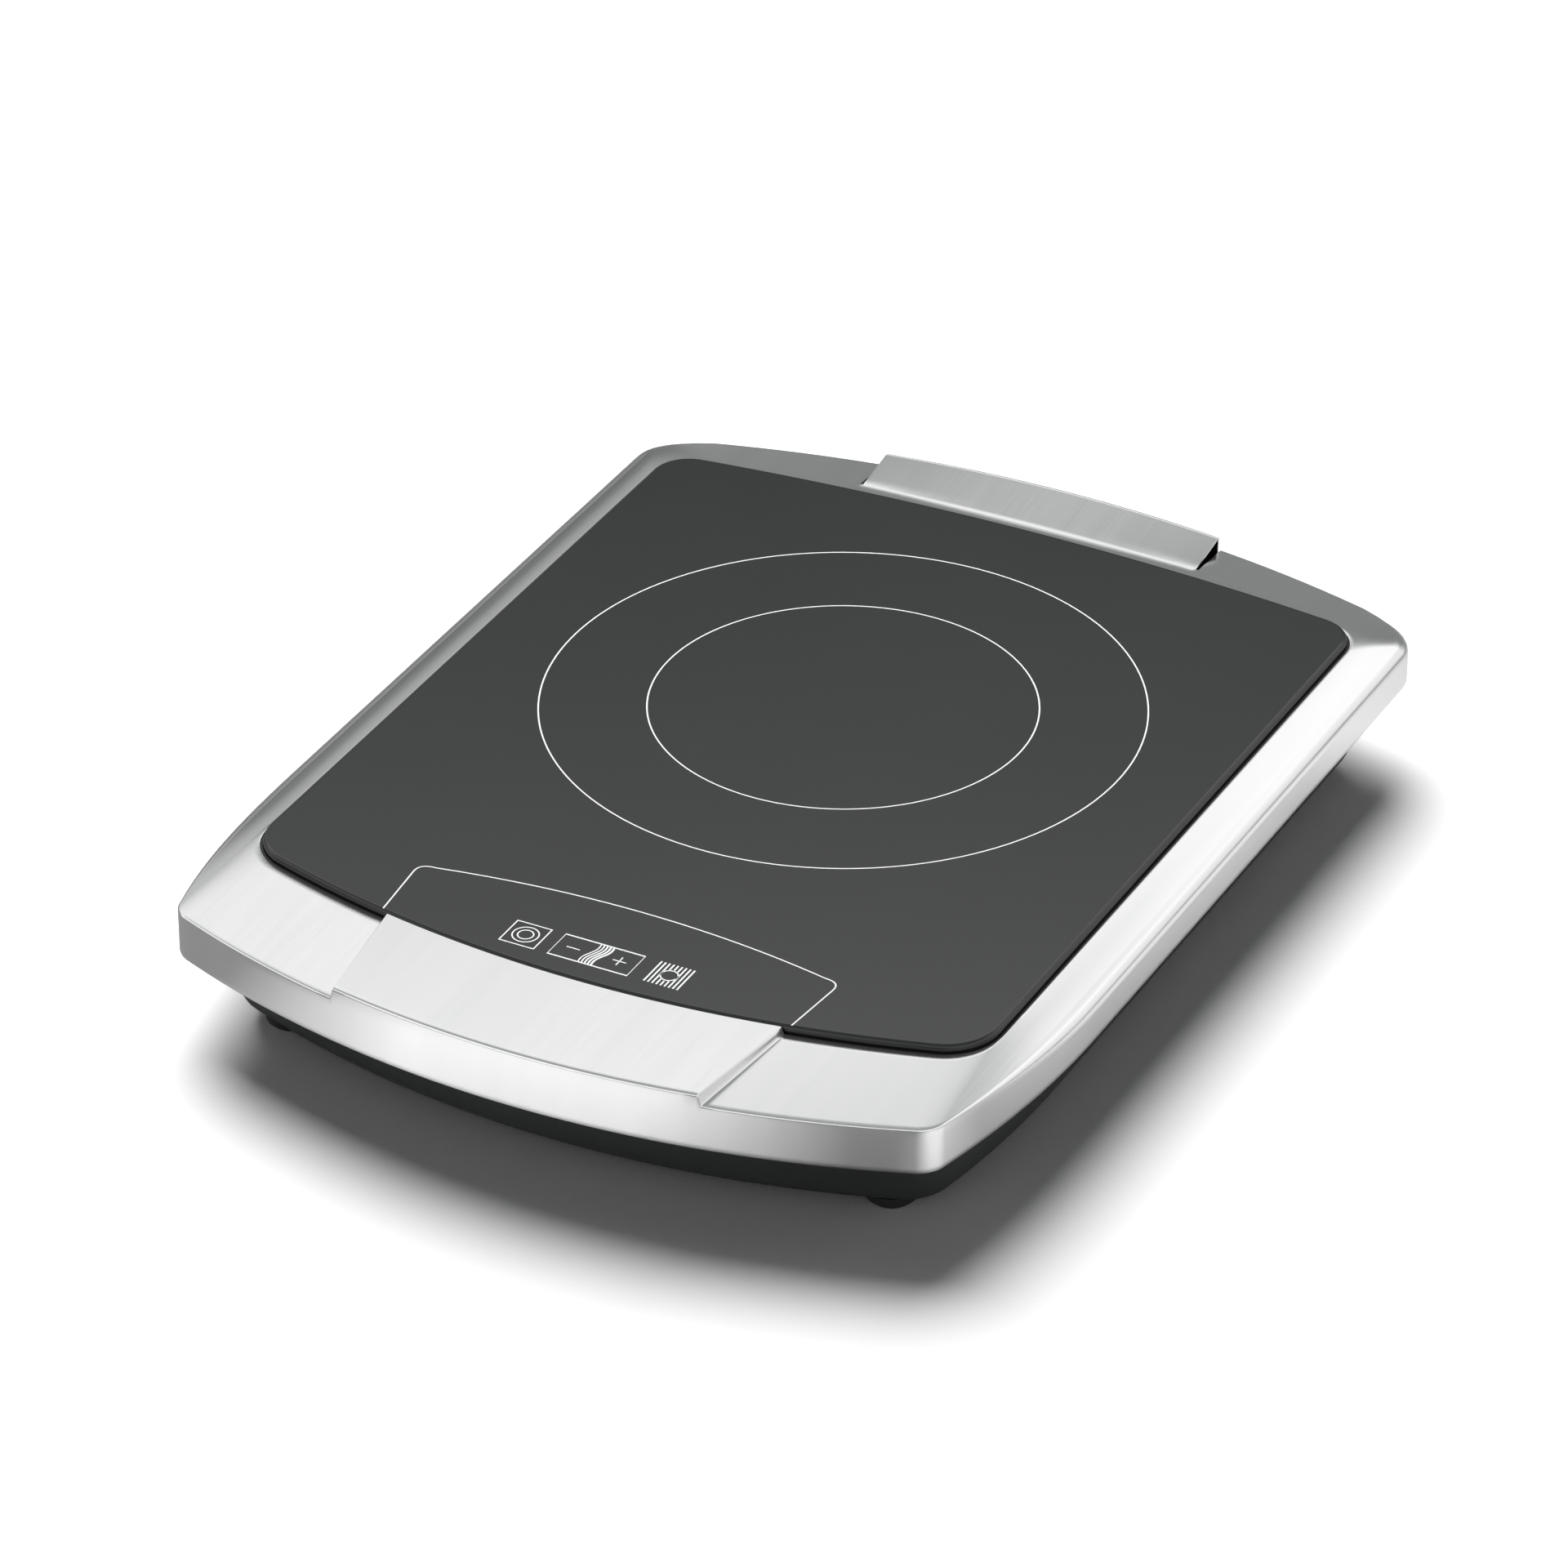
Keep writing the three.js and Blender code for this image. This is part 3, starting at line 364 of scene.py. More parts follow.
def ribbon(bm, path, width, closed=False):
    """A flat printed line along a path of points in millimetres."""
    count = len(path)
    near, far = [], []
    for i, point in enumerate(path):
        before = path[i - 1] if closed or i else point
        after = path[(i + 1) % count] if closed or i < count - 1 else point
        along = (after - before).normalized()
        across = Vector((-along.y, along.x)) * width / 2
        if 0 < i < count - 1 or closed:
            turn = (after - point).normalized().dot((point - before).normalized())
            across /= max(math.sqrt((1 + turn) / 2), 0.5)
        near.append(point - across)
        far.append(point + across)
    before = set(bm.faces)
    draw_out(bm, first_loop(bm, at_height(near, print_bottom), closed), at_height(far, print_bottom), closed)
    strip = [face for face in bm.faces if face not in before]
    lifted = bmesh.ops.extrude_face_region(bm, geom=strip)["geom"]
    lifted = [g for g in lifted if isinstance(g, bmesh.types.BMVert)]
    bmesh.ops.translate(bm, verts=lifted, vec=(0, 0, PRINT_THICK * MM))
    bmesh.ops.recalc_face_normals(bm, faces=bm.faces[:])


def circle_path(x, y, radius, steps):
    return arc((x, y), radius, 0, 2 * math.pi, steps)


def corner_path(corners, radius, steps=6):
    """A path through corner points, with every inner corner rounded."""
    path = [corners[0]]
    for before, corner, after in zip(corners, corners[1:], corners[2:]):
        start = corner + (before - corner).normalized() * radius
        end = corner + (after - corner).normalized() * radius
        for i in range(steps + 1):
            t = i / steps
            path.append(start.lerp(corner, t).lerp(corner.lerp(end, t), t))
    return path + [corners[-1]]


# %% Pan rings
zone_y = ZONE_Y / MM
bm = bmesh.new()
for radius in (110.0, 70.8):
    ribbon(bm, circle_path(0, zone_y, radius, 160), RING_LINE, closed=True)
finish_piece("printed_pan_rings", bm, ink, smooth=False)

# %% Border of the touch area
BORDER_HALF = 82.6
BORDER_REAR = -118.9
BORDER_BOW = 375
border_arc = [Vector((x, BORDER_REAR - BORDER_BOW + math.sqrt(BORDER_BOW ** 2 - x * x)))
              for x in [-76 + 152 * i / 40 for i in range(41)]]
left_side = corner_path([Vector((-79.6, -157.9)), Vector((-BORDER_HALF, -127.3)), border_arc[0]], 5)
right_side = [Vector((-p.x, p.y)) for p in reversed(left_side)]
bm = bmesh.new()
ribbon(bm, left_side[:-1] + border_arc + right_side[1:], RING_LINE)
finish_piece("printed_touch_border", bm, ink, smooth=False)

# %% Key outlines and their symbols
KEY_ROW = -149.8
KEY_HALF = 6.75


def rectangle_path(left, right, bottom, top):
    return [Vector((left, bottom)), Vector((right, bottom)), Vector((right, top)), Vector((left, top))]


bm = bmesh.new()
LEFT_KEY, MIDDLE_HALF, RIGHT_KEY = -27.7, 15.5, 28.4
ribbon(bm, rectangle_path(LEFT_KEY - KEY_HALF, LEFT_KEY + KEY_HALF, KEY_ROW - KEY_HALF, KEY_ROW + KEY_HALF),
       KEY_LINE, closed=True)
for radius in (4.7, 2.8):
    ribbon(bm, circle_path(LEFT_KEY, KEY_ROW, radius, 40), KEY_LINE, closed=True)
ribbon(bm, rectangle_path(-MIDDLE_HALF, MIDDLE_HALF, KEY_ROW - KEY_HALF, KEY_ROW + KEY_HALF), KEY_LINE, closed=True)
ribbon(bm, [Vector((-11.6, KEY_ROW)), Vector((-6.4, KEY_ROW))], KEY_LINE)
ribbon(bm, [Vector((6.4, KEY_ROW)), Vector((11.6, KEY_ROW))], KEY_LINE)
ribbon(bm, [Vector((9, KEY_ROW - 2.6)), Vector((9, KEY_ROW - 0.35))], KEY_LINE)
ribbon(bm, [Vector((9, KEY_ROW + 0.35)), Vector((9, KEY_ROW + 2.6))], KEY_LINE)
for i in range(5):
    stroke = []
    for k in range(17):
        t = k / 16
        x = (i - 2) * 1.25 + 2.2 * (t - 0.5) - 0.7 * math.sin(2 * math.pi * t)
        stroke.append(Vector((x, KEY_ROW + KEY_HALF * (2 * t - 1) * 0.96)))
    ribbon(bm, stroke, KEY_LINE + 0.07 * i)
finish_piece("printed_touch_keys", bm, ink, smooth=False)

# %% The barred key: upright bars that leave a round window free
WINDOW = 3.1
bm = bmesh.new()
for i in range(9):
    x = (i - 4) * 1.6
    clear = math.sqrt(max(WINDOW ** 2 - x * x, 0))
    spans = [(-KEY_HALF, -clear - 0.5), (clear + 0.5, KEY_HALF)] if abs(x) < WINDOW else [(-KEY_HALF, KEY_HALF)]
    for low, high in spans:
        ribbon(bm, [Vector((RIGHT_KEY + x, KEY_ROW + low)), Vector((RIGHT_KEY + x, KEY_ROW + high))], 0.65)
ribbon(bm, circle_path(RIGHT_KEY, KEY_ROW, WINDOW, 32), KEY_LINE, closed=True)
finish_piece("printed_barred_key", bm, ink, smooth=False)
print("printed marks lie at", print_bottom, "to", glass_top, "mm")

# %% [markdown]
# ## Seal
# A black silicone bead fills the joint between the glass and the steel. It is laid on the shelf of the surround
# and squeezed up round the glass, so its top is a shallow hollow between two edges. Seen from the side it is the
# dark line under the glass.

# %% Silicone bead
silicone = surface("silicone_black_laid", "#151616", "#1c1d1d", 0.42, 1.2, 0.015)
LEDGE_TOP = 52.7
LIP_TOP = 55.25


def bead_row(inset, z):
    return at_height(outline(GLASS, inset), z)


bm = bmesh.new()
loop = first_loop(bm, bead_row(6.0, LEDGE_TOP + 0.15))
for inset, z in [(-0.85, LEDGE_TOP + 0.15), (-0.85, 54.9), (-0.7, 55.05), (-0.45, 54.95), (-0.2, 55.15),
                 (-0.1, 54.9), (-0.1, glass_bottom - 0.15), (6.0, glass_bottom - 0.15)]:
    loop = draw_out(bm, loop, bead_row(inset, z))
bmesh.ops.bridge_loops(bm, edges=[e for e in bm.edges if e.is_boundary])
bmesh.ops.recalc_face_normals(bm, faces=bm.faces[:])
seal = finish_piece("glass_seal_bead", bm, silicone, stands_for=["glass_seal"])

# %% [markdown]
# ## Steel surround
# The surround is one sheet of stainless steel 0.8 mm thick. A press draws a shelf for the glass, a sloping bezel
# and a folded edge, lifts a flat panel in the middle of the front and a vent hood in the middle of the rear, and
# turns the bottom of the skirt inwards. Its section is the same all the way round apart from those two lifted
# places, so the sheet is one loop drawn out through the section, row by row, and each station of the loop knows
# how far it is lifted. The front edge is folded tightly, and the sides are rounder.

# %% Brushed stainless steel


def brushed_steel_material():
    material, tree = bare_material("stainless_steel_brushed")
    place = add_node(tree, "ShaderNodeTexCoord")
    # Brush lines run front to rear over the top, so they are fine across X there. Real lines are about 0.1 mm
    # apart, and are drawn at 0.5 mm so that they show.
    along = add_node(tree, "ShaderNodeMapping", {"Scale": (1.0, 0.012, 0.012)}, {"Vector": (place, "Object")})
    lines = add_node(tree, "ShaderNodeTexNoise", {"Scale": 1000 / 0.5, "Detail": 5.0, "Roughness": 0.6},
                     {"Vector": (along, 0)})
    # On the walls they run along the wall, so they are fine across Z.
    beside = add_node(tree, "ShaderNodeMapping", {"Scale": (0.012, 0.012, 1.0)}, {"Vector": (place, "Object")})
    wall_lines = add_node(tree, "ShaderNodeTexNoise", {"Scale": 1000 / 0.5, "Detail": 5.0, "Roughness": 0.6},
                          {"Vector": (beside, 0)})
    facing = add_node(tree, "ShaderNodeSeparateXYZ", links={"Vector": (place, "Normal")})
    on_top = add_node(tree, "ShaderNodeMath", {"operation": "GREATER_THAN", 1: 0.7}, {0: (facing, "Z")})
    on_wall = add_node(tree, "ShaderNodeMath", {"operation": "SUBTRACT", 0: 1.0}, {1: (on_top, 0)})
    brushed = add_node(tree, "ShaderNodeMix", {"data_type": "FLOAT"},
                       {0: (on_wall, 0), 2: (lines, "Fac"), 3: (wall_lines, "Fac")})
    # Reflections are drawn out across the brush lines: sideways over the top, and upwards on the walls.
    spread = add_node(tree, "ShaderNodeCombineXYZ", links={"X": (on_top, 0), "Z": (on_wall, 0)})
    # Broad bands from the uneven pressure of the brush.
    bands_at = add_node(tree, "ShaderNodeMapping", {"Scale": (1.0, 0.06, 0.06)}, {"Vector": (place, "Object")})
    bands = add_node(tree, "ShaderNodeTexNoise", {"Scale": 1000 / 9, "Detail": 3.0}, {"Vector": (bands_at, 0)})
    shade = add_node(tree, "ShaderNodeMix", {"data_type": "RGBA", 6: linear("#d8d9d9"), 7: linear("#e2e2e1")},
                     {0: (bands, "Fac")})
    tone = add_node(tree, "ShaderNodeMix", {"data_type": "RGBA", "blend_type": "MULTIPLY", 0: 0.07},
                    {6: (shade, 2), 7: (brushed, 0)})
    gloss = add_node(tree, "ShaderNodeMapRange", {"To Min": 0.15, "To Max": 0.24}, {"Value": (brushed, 0)})
    relief = add_node(tree, "ShaderNodeBump", {"Strength": 0.35, "Distance": 0.006 * MM}, {"Height": (brushed, 0)})
    shader = add_node(tree, "ShaderNodeBsdfPrincipled", {"Metallic": 1.0, "Anisotropic": 0.7},
                      {"Base Color": (tone, 2), "Roughness": (gloss, 0), "Normal": (relief, 0),
                       "Tangent": (spread, 0)})
    add_node(tree, "ShaderNodeOutputMaterial", links={"Surface": (shader, 0)})
    return material


brushed_steel = brushed_steel_material()

# %% Stations where the lifted panel and hood begin
SHEET = 0.8
WALL_RUN = 1.7                       # the side wall of the lifted panel slopes outwards by this much
PANEL_AT_GLASS, PANEL_AT_FRONT = 76.6, 70.2
HOOD_HALF = 69.4
SLIT = 1.2


def step_marks(start):
    return [start + WALL_RUN * i / 4 for i in range(5)]


def steel_outline(plan, inset, panel_half):
    return outline(plan, inset, step_marks(panel_half), [HOOD_HALF - 1, HOOD_HALF, HOOD_HALF + SLIT])


glass_rail = steel_outline(GLASS, 0, PANEL_AT_GLASS)
steel_rail = steel_outline(STEEL, 0, PANEL_AT_FRONT)
print("stations on the two rails:", len(glass_rail), len(steel_rail))

# %% Heights and lifts at each station
CREASE_FRONT, CREASE_SIDE = 53.0, 51.9
PANEL_TOP, PANEL_DROP = glass_top, 0.8
HOOD_BEGIN, HOOD_FOOT, HOOD_INSET = 188.0, 54.3, 0.6
SLIT_FOOT = 46.5
SKIRT_BOTTOM, HEM_REACH = 35.0, 11.0
FRONT_ROUND, SIDE_ROUND, REAR_ROUND = 1.0, 4.6, 2.2


def smooth(value, low, high):
    t = min(max((value - low) / (high - low), 0), 1)
    return t * t * (3 - 2 * t)


class Station:
    """One place on the loop: its points on the two rails, its outward directions, and how far it is lifted."""

    def __init__(self, glass_points, glass_inner, steel_points, steel_inner, i):
        self.glass, self.steel = glass_points[i], steel_points[i]
        self.glass_out, self.steel_out = self.glass - glass_inner[i], self.steel - steel_inner[i]
        across = abs(self.steel.x)
        self.lift = 0.0
        if self.steel.y < 0:
            self.lift = 1 - smooth(across - PANEL_AT_FRONT, 0, WALL_RUN)
        self.hood = self.steel.y > 0 and across < HOOD_HALF + 0.1
        if self.steel.y > 0:
            self.side = smooth(across, 135, 157)
        else:
            self.side = smooth(self.steel.y, -185, -90) * smooth(across, 120, 140)
        crease = CREASE_FRONT + self.side * (CREASE_SIDE - CREASE_FRONT)
        crease += self.lift * (PANEL_TOP - PANEL_DROP - crease)
        self.crease = PANEL_TOP if self.hood else crease
        plain_round = FRONT_ROUND if self.steel.y < 0 else REAR_ROUND
        self.round = 1.2 if self.hood else plain_round + self.side * (SIDE_ROUND - plain_round)
        self.wall = HOOD_INSET if self.hood else 0.0

    def place(self, outset, inset, t, z):
        """A point between the glass rail and the steel rail, with t = 0 at the glass and 1 at the steel edge."""
        a = self.glass + outset * self.glass_out
        b = self.steel - inset * self.steel_out
        p = a.lerp(b, t)
        return Vector((p.x * MM, p.y * MM, z * MM))

    def lip(self, plain, lifted):
        outset, z = (plain[k] + self.lift * (lifted[k] - plain[k]) for k in (0, 1))
        return self.place(outset, 0, 0, z)

    def bezel(self, t):
        lip_outset = 1.3 + self.lift * (0.75 - 1.3)
        lip_z = LIP_TOP + self.lift * (PANEL_TOP - LIP_TOP)
        p = self.place(lip_outset, self.wall + self.round, t, 0)
        z = lip_z + t * (self.crease - lip_z) + 0.35 * self.side * math.sin(math.pi * t)
        if self.hood:
            rear = self.steel.y - self.wall - self.round
            along = (p.y / MM - HOOD_BEGIN) / (rear - HOOD_BEGIN)
            z = HOOD_FOOT + along * (PANEL_TOP - HOOD_FOOT) if along > 0 else \
                LIP_TOP + smooth(p.y / MM, self.glass.y + lip_outset, HOOD_BEGIN) * (HOOD_FOOT - LIP_TOP)
        p.z = z * MM
        return p

    def fold(self, angle):
        inset = self.wall + self.round * (1 - math.sin(angle))
        return self.place(0, inset, 1, self.crease - self.round * (1 - math.cos(angle)))


plans = [steel_outline(GLASS, 0, PANEL_AT_GLASS), steel_outline(GLASS, 1, PANEL_AT_GLASS),
         steel_outline(STEEL, 0, PANEL_AT_FRONT), steel_outline(STEEL, 1, PANEL_AT_FRONT)]
stations = [Station(*plans, i) for i in range(len(glass_rail))]
print("lifted stations:", sum(s.lift > 0 for s in stations), "hood stations:", sum(s.hood for s in stations))

# %% The pressed sheet, row by row
sheet_rows = [
    lambda s: s.place(-7, 0, 0, LEDGE_TOP),
    lambda s: s.place(0.6, 0, 0, LEDGE_TOP),
    lambda s: s.lip((1.0, LEDGE_TOP + 0.4), (1.0, LEDGE_TOP + 0.4)),
    lambda s: s.lip((1.0, 54.2), (1.0, 55.3)),
    lambda s: s.lip((1.0, 54.9), (0.4, 55.6)),
    lambda s: s.lip((1.08, 55.17), (0.4, 57.6)),
    lambda s: s.lip((1.3, LIP_TOP), (0.75, PANEL_TOP)),
]
sheet_rows += [lambda s, t=t: s.bezel(t) for t in (0.08, 0.17, 0.3, 0.45, 0.6, 0.75, 0.9, 0.97, 1.0)]
sheet_rows += [lambda s, a=a: s.fold(math.radians(a)) for a in (18, 36, 54, 72, 90)]
sheet_rows += [lambda s: s.place(0, s.wall, 1, (SLIT_FOOT + s.crease - s.round) / 2)]
sheet_rows += [lambda s, z=z: s.place(0, s.wall, 1, z) for z in (SLIT_FOOT, 43.0, 37.5)]
sheet_rows += [
    lambda s: s.place(0, 0, 1, 36.3),
    lambda s: s.place(0, 0.25, 1, SKIRT_BOTTOM + 0.35),
    lambda s: s.place(0, 0.9, 1, SKIRT_BOTTOM),
    lambda s: s.place(0, 4, 1, SKIRT_BOTTOM),
    lambda s: s.place(0, HEM_REACH, 1, SKIRT_BOTTOM),
]
bm = bmesh.new()
loop = first_loop(bm, [sheet_rows[0](s) for s in stations])
for row in sheet_rows[1:]:
    loop = draw_out(bm, loop, [row(s) for s in stations])
bmesh.ops.recalc_face_normals(bm, faces=bm.faces[:])
print("sheet faces:", len(bm.faces))

# %% [markdown]
# The press cuts the sheet along both sides of the hood before it lifts it, which leaves a narrow slit. The slit
# is made by deleting the faces between the hood's last station and the plain bezel, from the foot of the hood to
# a little way down the rear wall.

# %% Slits beside the hood


def beside_hood(face):
    middle = face.calc_center_median() / MM
    return HOOD_HALF < abs(middle.x) < HOOD_HALF + SLIT and middle.y > HOOD_BEGIN and middle.z > SLIT_FOOT


slit_faces = [face for face in bm.faces if beside_hood(face)]
bmesh.ops.delete(bm, geom=slit_faces, context="FACES")
print("slit faces removed:", len(slit_faces))

# %% [markdown]
# A Solidify modifier gives the sheet its thickness, and vent slots and screw holes are cut out of it with round
# ended cutters. The modifiers are settled into the mesh, because the cutters are only tools and are removed.

# %% Thickness, vent slots and screw holes


def tool_from(bm):
    bmesh.ops.recalc_face_normals(bm, faces=bm.faces[:])
    mesh = bpy.data.meshes.new("cutter")
    bm.to_mesh(mesh)
    bm.free()
    tool = bpy.data.objects.new("cutter", mesh)
    bpy.context.scene.collection.objects.link(tool)
    return tool


def cutter(shapes):
    bm = bmesh.new()
    for points, direction, depth in shapes:
        face = bm.faces.new([bm.verts.new(p) for p in points])
        made = bmesh.ops.extrude_face_region(bm, geom=[face])["geom"]
        moved = [g for g in made if isinstance(g, bmesh.types.BMVert)]
        bmesh.ops.translate(bm, verts=moved, vec=Vector(direction) * depth * MM)
    return tool_from(bm)


def settle(piece):
    """Puts the result of a piece's modifiers into its mesh, and takes its cutters away."""
    tools = [modifier.object for modifier in piece.modifiers if modifier.type == "BOOLEAN"]
    shape = bpy.data.meshes.new_from_object(piece.evaluated_get(bpy.context.evaluated_depsgraph_get()))
    piece.modifiers.clear()
    piece.data = shape
    for tool in tools:
        bpy.data.objects.remove(tool)


def cut_out(piece, tool):
    cut = piece.modifiers.new("cut", "BOOLEAN")
    cut.object = tool
    cut.operation = "DIFFERENCE"
    cut.solver = "EXACT"


def sharpen(piece, degrees):
    """Shades the piece smoothly except over edges that turn more than this."""
    bm = bmesh.new()
    bm.from_mesh(piece.data)
    for face in bm.faces:
        face.smooth = True
    for edge in bm.edges:
        edge.smooth = len(edge.link_faces) == 2 and edge.calc_face_angle(0) < math.radians(degrees)
    bm.to_mesh(piece.data)
    bm.free()


def slot_path(x, z, half_width, half_height, y):
    radius = half_width
    top = [(x + radius * math.cos(a), z + half_height - radius + radius * math.sin(a))
           for a in [math.pi * i / 10 for i in range(11)]]
    bottom = [(2 * x - px, 2 * z - pz) for px, pz in top]
    return [Vector((px * MM, y * MM, pz * MM)) for px, pz in top + bottom]


def hole_path(x, y, z, radius, steps=20):
    return at_height(circle_path(x, y, radius, steps), z)


VENTS = [(14 * i, 45, 3.6, 5) for i in range(-4, 5)]
BASE_SCREWS = [(80, -200), (-80, -200), (153.5, 20), (-153.5, 20), (80, 201), (-80, 201)]
shapes = [(slot_path(x, z, w, h, 205), (0, 1, 0), 20) for x, z, w, h in VENTS]
shapes += [(hole_path(x, y, SKIRT_BOTTOM - 2, 2), (0, 0, 1), 5) for x, y in BASE_SCREWS]
surround = finish_piece("steel_surround_pressed", bm, brushed_steel, stands_for=["steel_frame"])
thick = surround.modifiers.new("thickness", "SOLIDIFY")
thick.thickness = SHEET * MM
thick.offset = -1
thick.use_even_offset = True
tool = cutter(shapes)
cut_out(surround, tool)
settle(surround)
sharpen(surround, 32)
print("surround triangles:", sum(len(p.vertices) - 2 for p in surround.data.polygons))

# %% [markdown]
# ## Moulded base
# The base is a shallow tub of black polypropylene. Its wall leans outwards for release from the mould, its lower
# edge is well rounded, and a flange round its top screws to the hem of the steel. Inside it has posts for the
# boards and the coil, and under the fan its floor is slotted. The tub is one loop drawn up the outside, over the
# flange, down the inside and across the floor.

# %% Black moulded plastic
base_plastic = surface("polypropylene_black_spark_grained", "#2b2d2d", "#363838", 0.5, 0.9, 0.03, patch_mm=30)

# %% Base tub
# The posts stand higher than the rim, so the rim's height comes from the screws, flush with its underside.
SCREW_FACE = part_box("base_screw_1")[0].z / MM
FLANGE_THICK, FLANGE_INSET = 2.0, 3.0
TUB_BOTTOM, TUB_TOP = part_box("base_tub")[0].z / MM, SCREW_FACE - 0.1 + FLANGE_THICK
TUB_WALL, TUB_FLARE = 2.2, 3.0
TUB_FLOOR = TUB_BOTTOM + 2.5


def tub_row(inset, z):
    share = (z - TUB_BOTTOM) / (TUB_TOP - TUB_BOTTOM)
    grow_x, grow_y = 1 + share * TUB_FLARE / BASE["half"], 1 + share * TUB_FLARE / BASE["rear"]
    return [Vector((p.x * grow_x * MM, p.y * grow_y * MM, z * MM)) for p in outline(BASE, inset)]


def rounded_foot(inset, radius, bottom, steps=6):
    angles = [math.pi / 2 * i / steps for i in range(steps + 1)]
    return [(inset + radius * (1 - math.sin(a)), bottom + radius * (1 - math.cos(a))) for a in angles]


flange = FLANGE_INSET
bm = bmesh.new()
loop = first_loop(bm, tub_row(60, TUB_BOTTOM))
outer_wall = [(20, TUB_BOTTOM), (9, TUB_BOTTOM)] + rounded_foot(0, 7, TUB_BOTTOM)
for inset, z in outer_wall + [(0, 20), (0, TUB_TOP - FLANGE_THICK - 0.6)]:
    loop = draw_out(bm, loop, tub_row(inset, z))
for inset, z in [(flange + 0.4, TUB_TOP - FLANGE_THICK), (flange, TUB_TOP - FLANGE_THICK + 0.4),
                 (flange, TUB_TOP - 0.3), (flange + 0.3, TUB_TOP)]:
    loop = draw_out(bm, loop, at_height(outline(STEEL, inset), z))
for inset, z in [(TUB_WALL, TUB_TOP), (TUB_WALL, TUB_TOP - 0.5), (TUB_WALL, 20)] + \
        list(reversed(rounded_foot(TUB_WALL, 5, TUB_FLOOR))) + [(20, TUB_FLOOR), (60, TUB_FLOOR)]:
    loop = draw_out(bm, loop, tub_row(inset, z))
bmesh.ops.holes_fill(bm, edges=[e for e in bm.edges if e.is_boundary], sides=0)
bmesh.ops.recalc_face_normals(bm, faces=bm.faces[:])
print("tub from", round(TUB_BOTTOM, 2), "to", round(TUB_TOP, 2), "mm")

# %% Posts and gland boss inside the tub
BOARD_SCREWS = [(20, -86), (126, -86), (20, 142), (126, 142)]
COIL_POSTS = [(0, 121.25), (73.6, -6.25), (-73.6, -6.25)]
CARRIER_POSTS = [(44, -152), (-44, -152), (44, -128), (-44, -128)]


def add_post(bm, x, y, radius, top, pilot):
    """A hollow moulded post: wider at its root, with a hole for a screw."""
    rows = [(radius + 1.6, TUB_FLOOR - 0.6), (radius + 0.5, TUB_FLOOR + 0.9), (radius + 0.3, TUB_FLOOR + 2),
            (radius, top - 0.3), (radius - 0.3, top), (pilot, top), (pilot, top - 7)]
    loop = first_loop(bm, at_height(circle_path(x, y, rows[0][0], 20), rows[0][1]))
    bm.faces.new(loop)
    for r, z in rows[1:]:
        loop = draw_out(bm, loop, at_height(circle_path(x, y, r, 20), z))
    bm.faces.new(loop)


for places, radius, top, pilot in [(BOARD_SCREWS, 4, 13.7, 1.4), (COIL_POSTS, 4.5, 38.2, 1.6),
                                   (CARRIER_POSTS, 3.5, 41.7, 1.3)]:
    for x, y in places:
        add_post(bm, x, y, radius, top, pilot)
bmesh.ops.recalc_face_normals(bm, faces=bm.faces[:])
base_tub = finish_piece("base_tub_moulded", bm, base_plastic, stands_for=["base_tub"])

# %% [markdown]
# The holes for the screws are countersunk, which is a turned shape: half of the section is drawn from the axis out
# and back again, and the spin operator turns it into a closed solid.

# %% Turned shapes


def turn(bm, profile, centre, axis=(0, 0, 1), steps=40):
    """Spins a section about an axis. The profile is a list of (radius, along) pairs in millimetres."""
    axis = Vector(axis)
    outwards = Vector((1, 0, 0))
    places = [Vector(centre) + outwards * r + axis * a for r, a in profile]
    verts = [bm.verts.new(p * MM) for p in places]
    edges = [bm.edges.new(pair) for pair in zip(verts, verts[1:])]
    if profile[0] == profile[-1]:
        bmesh.ops.remove_doubles(bm, verts=verts, dist=1e-7)
        verts = [v for v in verts if v.is_valid]
        edges = list({e for v in verts for e in v.link_edges})
    before = set(bm.verts) - set(verts)
    bmesh.ops.spin(bm, geom=verts + edges, cent=Vector(centre) * MM, axis=axis, angle=2 * math.pi, steps=steps,
                   use_merge=True)
    made = [v for v in bm.verts if v not in before]
    bmesh.ops.remove_doubles(bm, verts=made, dist=1e-6)
    faces = list({f for v in made if v.is_valid for f in v.link_faces})
    bmesh.ops.recalc_face_normals(bm, faces=faces)


# %% Countersunk holes in the flange
countersink = [(0, -2), (3.35, -2), (3.35, 0), (2, 1.35), (2, 5), (0, 5)]
bm = bmesh.new()
for x, y in BASE_SCREWS:
    turn(bm, countersink, (x, y, SCREW_FACE - 0.1), steps=24)
cut_out(base_tub, tool_from(bm))

# %% Air slots in the floor and the gland hole
FAN_X, FAN_Y = -72.0, 98.0
GRILLE_RADIUS, GRILLE_PITCH = 41.0, 8.0
GLAND_X, GLAND_Z, BOSS_REAR = 100.0, 20.0, 190.5


def floor_slot(x_low, x_high, y, width):
    r = width / 2
    ends = arc((x_high - r, y), r, -math.pi / 2, math.pi / 2, 8) + [Vector((x_high - r, y + r))]
    ends += arc((x_low + r, y), r, math.pi / 2, 3 * math.pi / 2, 8) + [Vector((x_low + r, y - r))]
    return at_height(ends, TUB_BOTTOM - 2)


